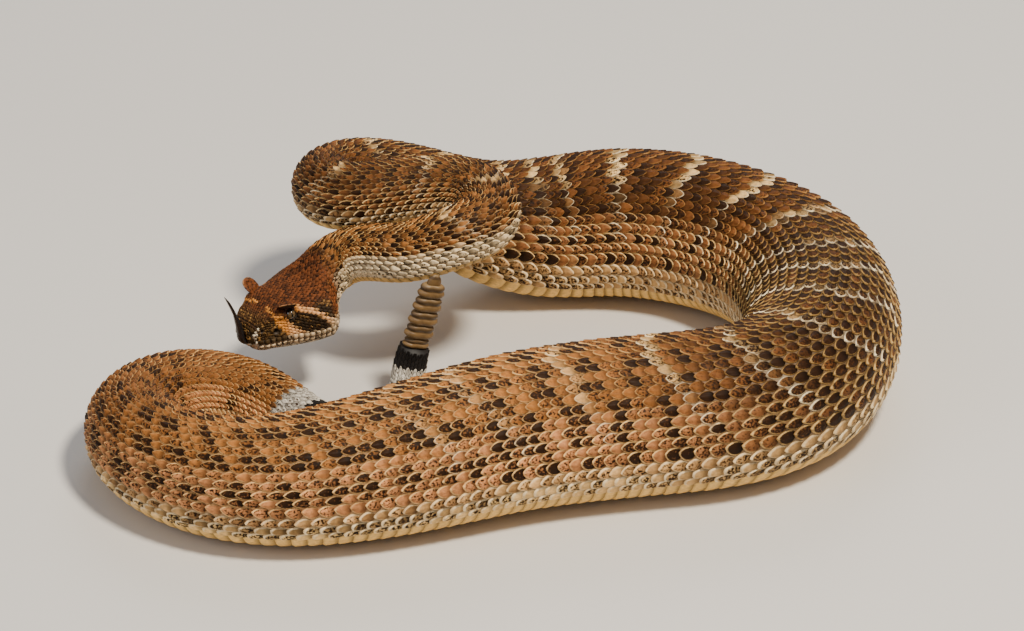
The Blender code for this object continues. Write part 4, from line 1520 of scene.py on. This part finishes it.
def makeEyeMaterial():
    material, tree, shader = newMaterial("snakeEye")
    gaze = attribute(tree, "gazePlace", "Vector")
    x, y, _ = split(gaze)
    high = maths("DIVIDE", y, eyeSettings["pupilHeight"])
    slit = plus(maths("ABSOLUTE", maths("DIVIDE", x, eyeSettings["pupilWidth"])), times(high, high))
    away = maths("SQRT", plus(times(x, x), times(y, y)))
    iris = mixColour(noise(tree, 7.0, 4.0, gaze), eyeSettings["irisDark"], eyeSettings["irisLight"])
    iris = mixColour(remap(away, 0.62, 0.85), iris, eyeSettings["irisEdge"])
    feed(shader["Base Color"], mixColour(remap(slit, 1.1, 0.85), iris, eyeSettings["pupil"]))
    for name, value in (("Roughness", 0.12), ("Coat Weight", 0.6), ("Coat Roughness", 0.05)):
        feed(shader[name], value)
    return material


def makeEyes():
    material = makeEyeMaterial()
    behind, left, above = faceSettings["eye"]
    ahead, aside, high = faceSettings["gaze"]
    turns, faces = ballGrid(eyeSettings["rings"], eyeSettings["sides"])
    local = np.array([(math.sin(p) * math.cos(a), math.sin(p) * math.sin(a), math.cos(p)) for p, a in turns])
    for name, sign in (("eye_left", 1.0), ("eye_right", -1.0)):
        outward = (headForward * ahead + headLeft * aside * sign + headUp * high).normalized()
        upright = (headUp - outward * headUp.dot(outward)).normalized()
        axes = np.array([upright.cross(outward), upright, outward])
        vertices = headPlace([behind], [sign * left], [above]) + local @ axes * faceSettings["eyeRadius"] * mm
        item = meshObject("eyeball_" + name[4:], vertices, faces, material)
        storeValues(item.data, {"gazePlace": local})
        handOver(item, "eye", name)


makeEyes()
print("eyes and brows set")


# the tongue: a flat stem that rises from the mouth and parts into two tines

tongueSettings = {
    "height": -3.0,
    "thick": 1.2,
    "stem": [(-6.0, 0.0), (0.6, 0.0), (2.0, 1.7), (2.2, 5.5), (2.6, 10.0), (3.4, 14.3)],
    "tine": [(3.2, 0.35, 13.4), (3.9, 0.7, 16.2), (4.8, 1.2, 19.2), (5.8, 1.6, 22.2), (7.1, 2.0, 25.2)],
    "twist": (0.55, 0.0, 0.6),
    "sides": 20,
    "groove": 0.22,
    "stemThick": ((0, 0.5, 0.85, 1.0), (1.0, 1.1, 0.85, 0.6)),
    "stemWide": ((0, 0.3, 1.0), (1.6, 1.75, 1.6)),
    "tineThick": ((0, 0.3, 0.7, 1.0), (0.6, 0.55, 0.4, 0.12)),
    "tineWide": ((0, 1.0), (1.0, 1.0)),
    "dark": (0.004, 0.004, 0.005, 1.0),
    "light": (0.014, 0.011, 0.011, 1.0),
    "wet": 0.12,
}


def smoothPath(points, count):
    points = np.array(points, float)
    t = np.concatenate([[0.0], np.cumsum(np.linalg.norm(np.diff(points, axis=0), axis=1))])
    s = np.linspace(0.0, t[-1], count)
    return np.column_stack([smoothRead(t, points[:, j], s) for j in range(points.shape[1])]), s / t[-1]


def makeTongue():
    material, tree, shader = newMaterial("tongueBlack")
    cloud = noise(tree, 1500.0)
    feed(shader["Base Color"], mixColour(cloud, tongueSettings["dark"], tongueSettings["light"]))
    feed(shader["Roughness"], remap(cloud, 0.2, 0.8, 0.35, 0.55))
    feed(shader["Coat Weight"], tongueSettings["wet"])
    sides = tongueSettings["sides"]
    vertices, faces = [], []

    def addTube(path, count, kind):
        # flattened rings along a short smooth path of (ahead, left, above)
        path, share = smoothPath(path, count)
        thick, wide = (np.interp(share, *tongueSettings[kind + name]) for name in ("Thick", "Wide"))
        high = tongueSettings["height"]
        points = [Vector(row) for row in headPlace(-path[:, 0], path[:, 1], path[:, 2] + high)]
        faces.extend(ringFaces(len(vertices), count, sides))
        for k, point in enumerate(points):
            tangent = (points[min(count - 1, k + 1)] - points[max(0, k - 1)]).normalized()
            across = tangent.cross(Vector((0.3, 0.2, 0.93))).normalized()
            over = across.cross(tangent)
            for j in range(sides):
                angle = 2.0 * math.pi * j / sides
                groove = 1.0 - tongueSettings["groove"] * max(0.0, math.sin(angle)) ** 6
                spoke = across * wide[k] * math.cos(angle) + over * math.sin(angle) * groove
                vertices.append(point + spoke * tongueSettings["thick"] * thick[k] * mm)

    addTube([(ahead, 0.0, above) for ahead, above in tongueSettings["stem"]], 40, "stem")
    for sign in (1.0, -1.0):
        twist = np.array(tongueSettings["twist"]) * sign
        tine = [np.array((ahead, left * sign, above)) + twist * left for ahead, left, above in tongueSettings["tine"]]
        addTube(tine, 30, "tine")
    item = meshObject("tongue_flick", vertices, faces, material)
    turnOutward(item)
    handOver(item, "tongue", "tongue")


makeTongue()
print("tongue set")


# the rattle: six loose horn segments, each lobed and grooved, standing on the tail's end

rattleSettings = {
    "facing": (0.96, 0.28, 0.0),
    "segments": [(4.6, 0.9), (6.4, 1.0), (6.4, 1.0), (6.5, 0.97), (6.3, 0.9), (4.4, 0.52)],  # height, breadth
    "width": 6.5,
    "depth": 3.8,
    "gap": 0.3,
    "rings": 34,
    "sides": 56,
    "lobes": [
        (0.0, 0.66), (0.03, 0.76), (0.1, 0.9), (0.2, 0.98), (0.3, 1.0), (0.4, 0.97), (0.48, 0.9), (0.54, 0.85),
        (0.6, 0.86), (0.68, 0.9), (0.76, 0.91), (0.84, 0.87), (0.92, 0.8), (0.97, 0.72), (1.0, 0.62),
    ],
    "horn": ((0.070, 0.036, 0.011, 1.0), (0.25, 0.145, 0.050, 1.0)),
    "groove": ((0.030, 0.016, 0.006, 1.0), (0.11, 0.062, 0.022, 1.0)),
    "rim": (0.22, 0.135, 0.055, 1.0),
}


def makeRattleMaterial():
    material, tree, shader = newMaterial("rattleHorn")
    band = split(attribute(tree, "hornPlace", "Vector"))[0]
    fine = noise(tree, 2400.0)
    colour = mixColour(noise(tree, 380.0, 4.0), *rattleSettings["horn"])
    colour = mixColour(remap(band, 0.5, 0.62), colour, mixColour(fine, *rattleSettings["groove"]))
    colour = mixColour(remap(band, 0.78, 1.0), colour, rattleSettings["rim"])
    feed(shader["Base Color"], colour)
    feed(shader["Roughness"], remap(fine, 0.2, 0.8, 0.35, 0.6))
    addBump(shader, fine, 0.5, 0.0001)
    return material


def segmentShape(button):
    # one segment in unit size: x across, y thick, z along
    sides = rattleSettings["sides"]
    spread, _ = smoothPath(rattleSettings["lobes"], rattleSettings["rings"])
    vertices = []
    for share, size in spread:
        size = 0.9 * math.sqrt(max(0.05, 1.0 - share**2 * 0.95)) if button else size
        size = size * (1.0 + 0.008 * math.sin(share * 60.0))
        for k in range(sides):
            angle = 2.0 * math.pi * k / sides
            squeeze = 1.0 - 0.2 * abs(math.sin(angle)) ** 14
            vertices.append((math.cos(angle) * size, math.sin(angle) * size * squeeze, share))
    item = meshObject("segment", vertices, ringFaces(0, len(spread), sides))
    storeValues(item.data, {"hornPlace": [(v[2], 0.0, 0.0) for v in vertices]})
    return item


def makeRattle():
    material = makeRattleMaterial()
    tree, source = newTree("segmentString", ("Shape",))
    finishTree(tree, source, spreadShapes(tree, source, named(tree, "segmentSize"), ("standing", "broad")))
    base, tangent, _, _, _ = readLine([bodyLength])
    axis = Vector(tangent[0]).normalized()
    facing = Vector(rattleSettings["facing"])
    broad = (facing - axis * axis.dot(facing)).normalized()
    heights, breadths = np.array(rattleSettings["segments"]).T
    gap = rattleSettings["gap"]
    along = np.cumsum(heights) - heights + gap
    places = base + np.outer(along, axis) * mm
    wide, deep = rattleSettings["width"] * breadths, rattleSettings["depth"] * breadths
    sizes = np.column_stack([wide, deep, heights - gap]) * mm
    last = len(heights) - 1
    for name, numbers in (("rattle_segments", list(range(last))), ("rattle_button", [last])):
        shape = segmentShape(numbers == [last])
        item = pointsObject(name, places[numbers], {
            "standing": np.tile(axis, (len(numbers), 1)),
            "broad": np.tile(broad, (len(numbers), 1)),
            "segmentSize": sizes[numbers],
        })
        runTree(item, tree, {"Shape": shape, "Finish": material})
        bpy.data.objects.remove(shape)
        handOver(item, "rattle", *["rattle_%d" % (n + 1) for n in numbers])


makeRattle()
print("rattle set")

bpy.data.objects.remove(bodyGuide)
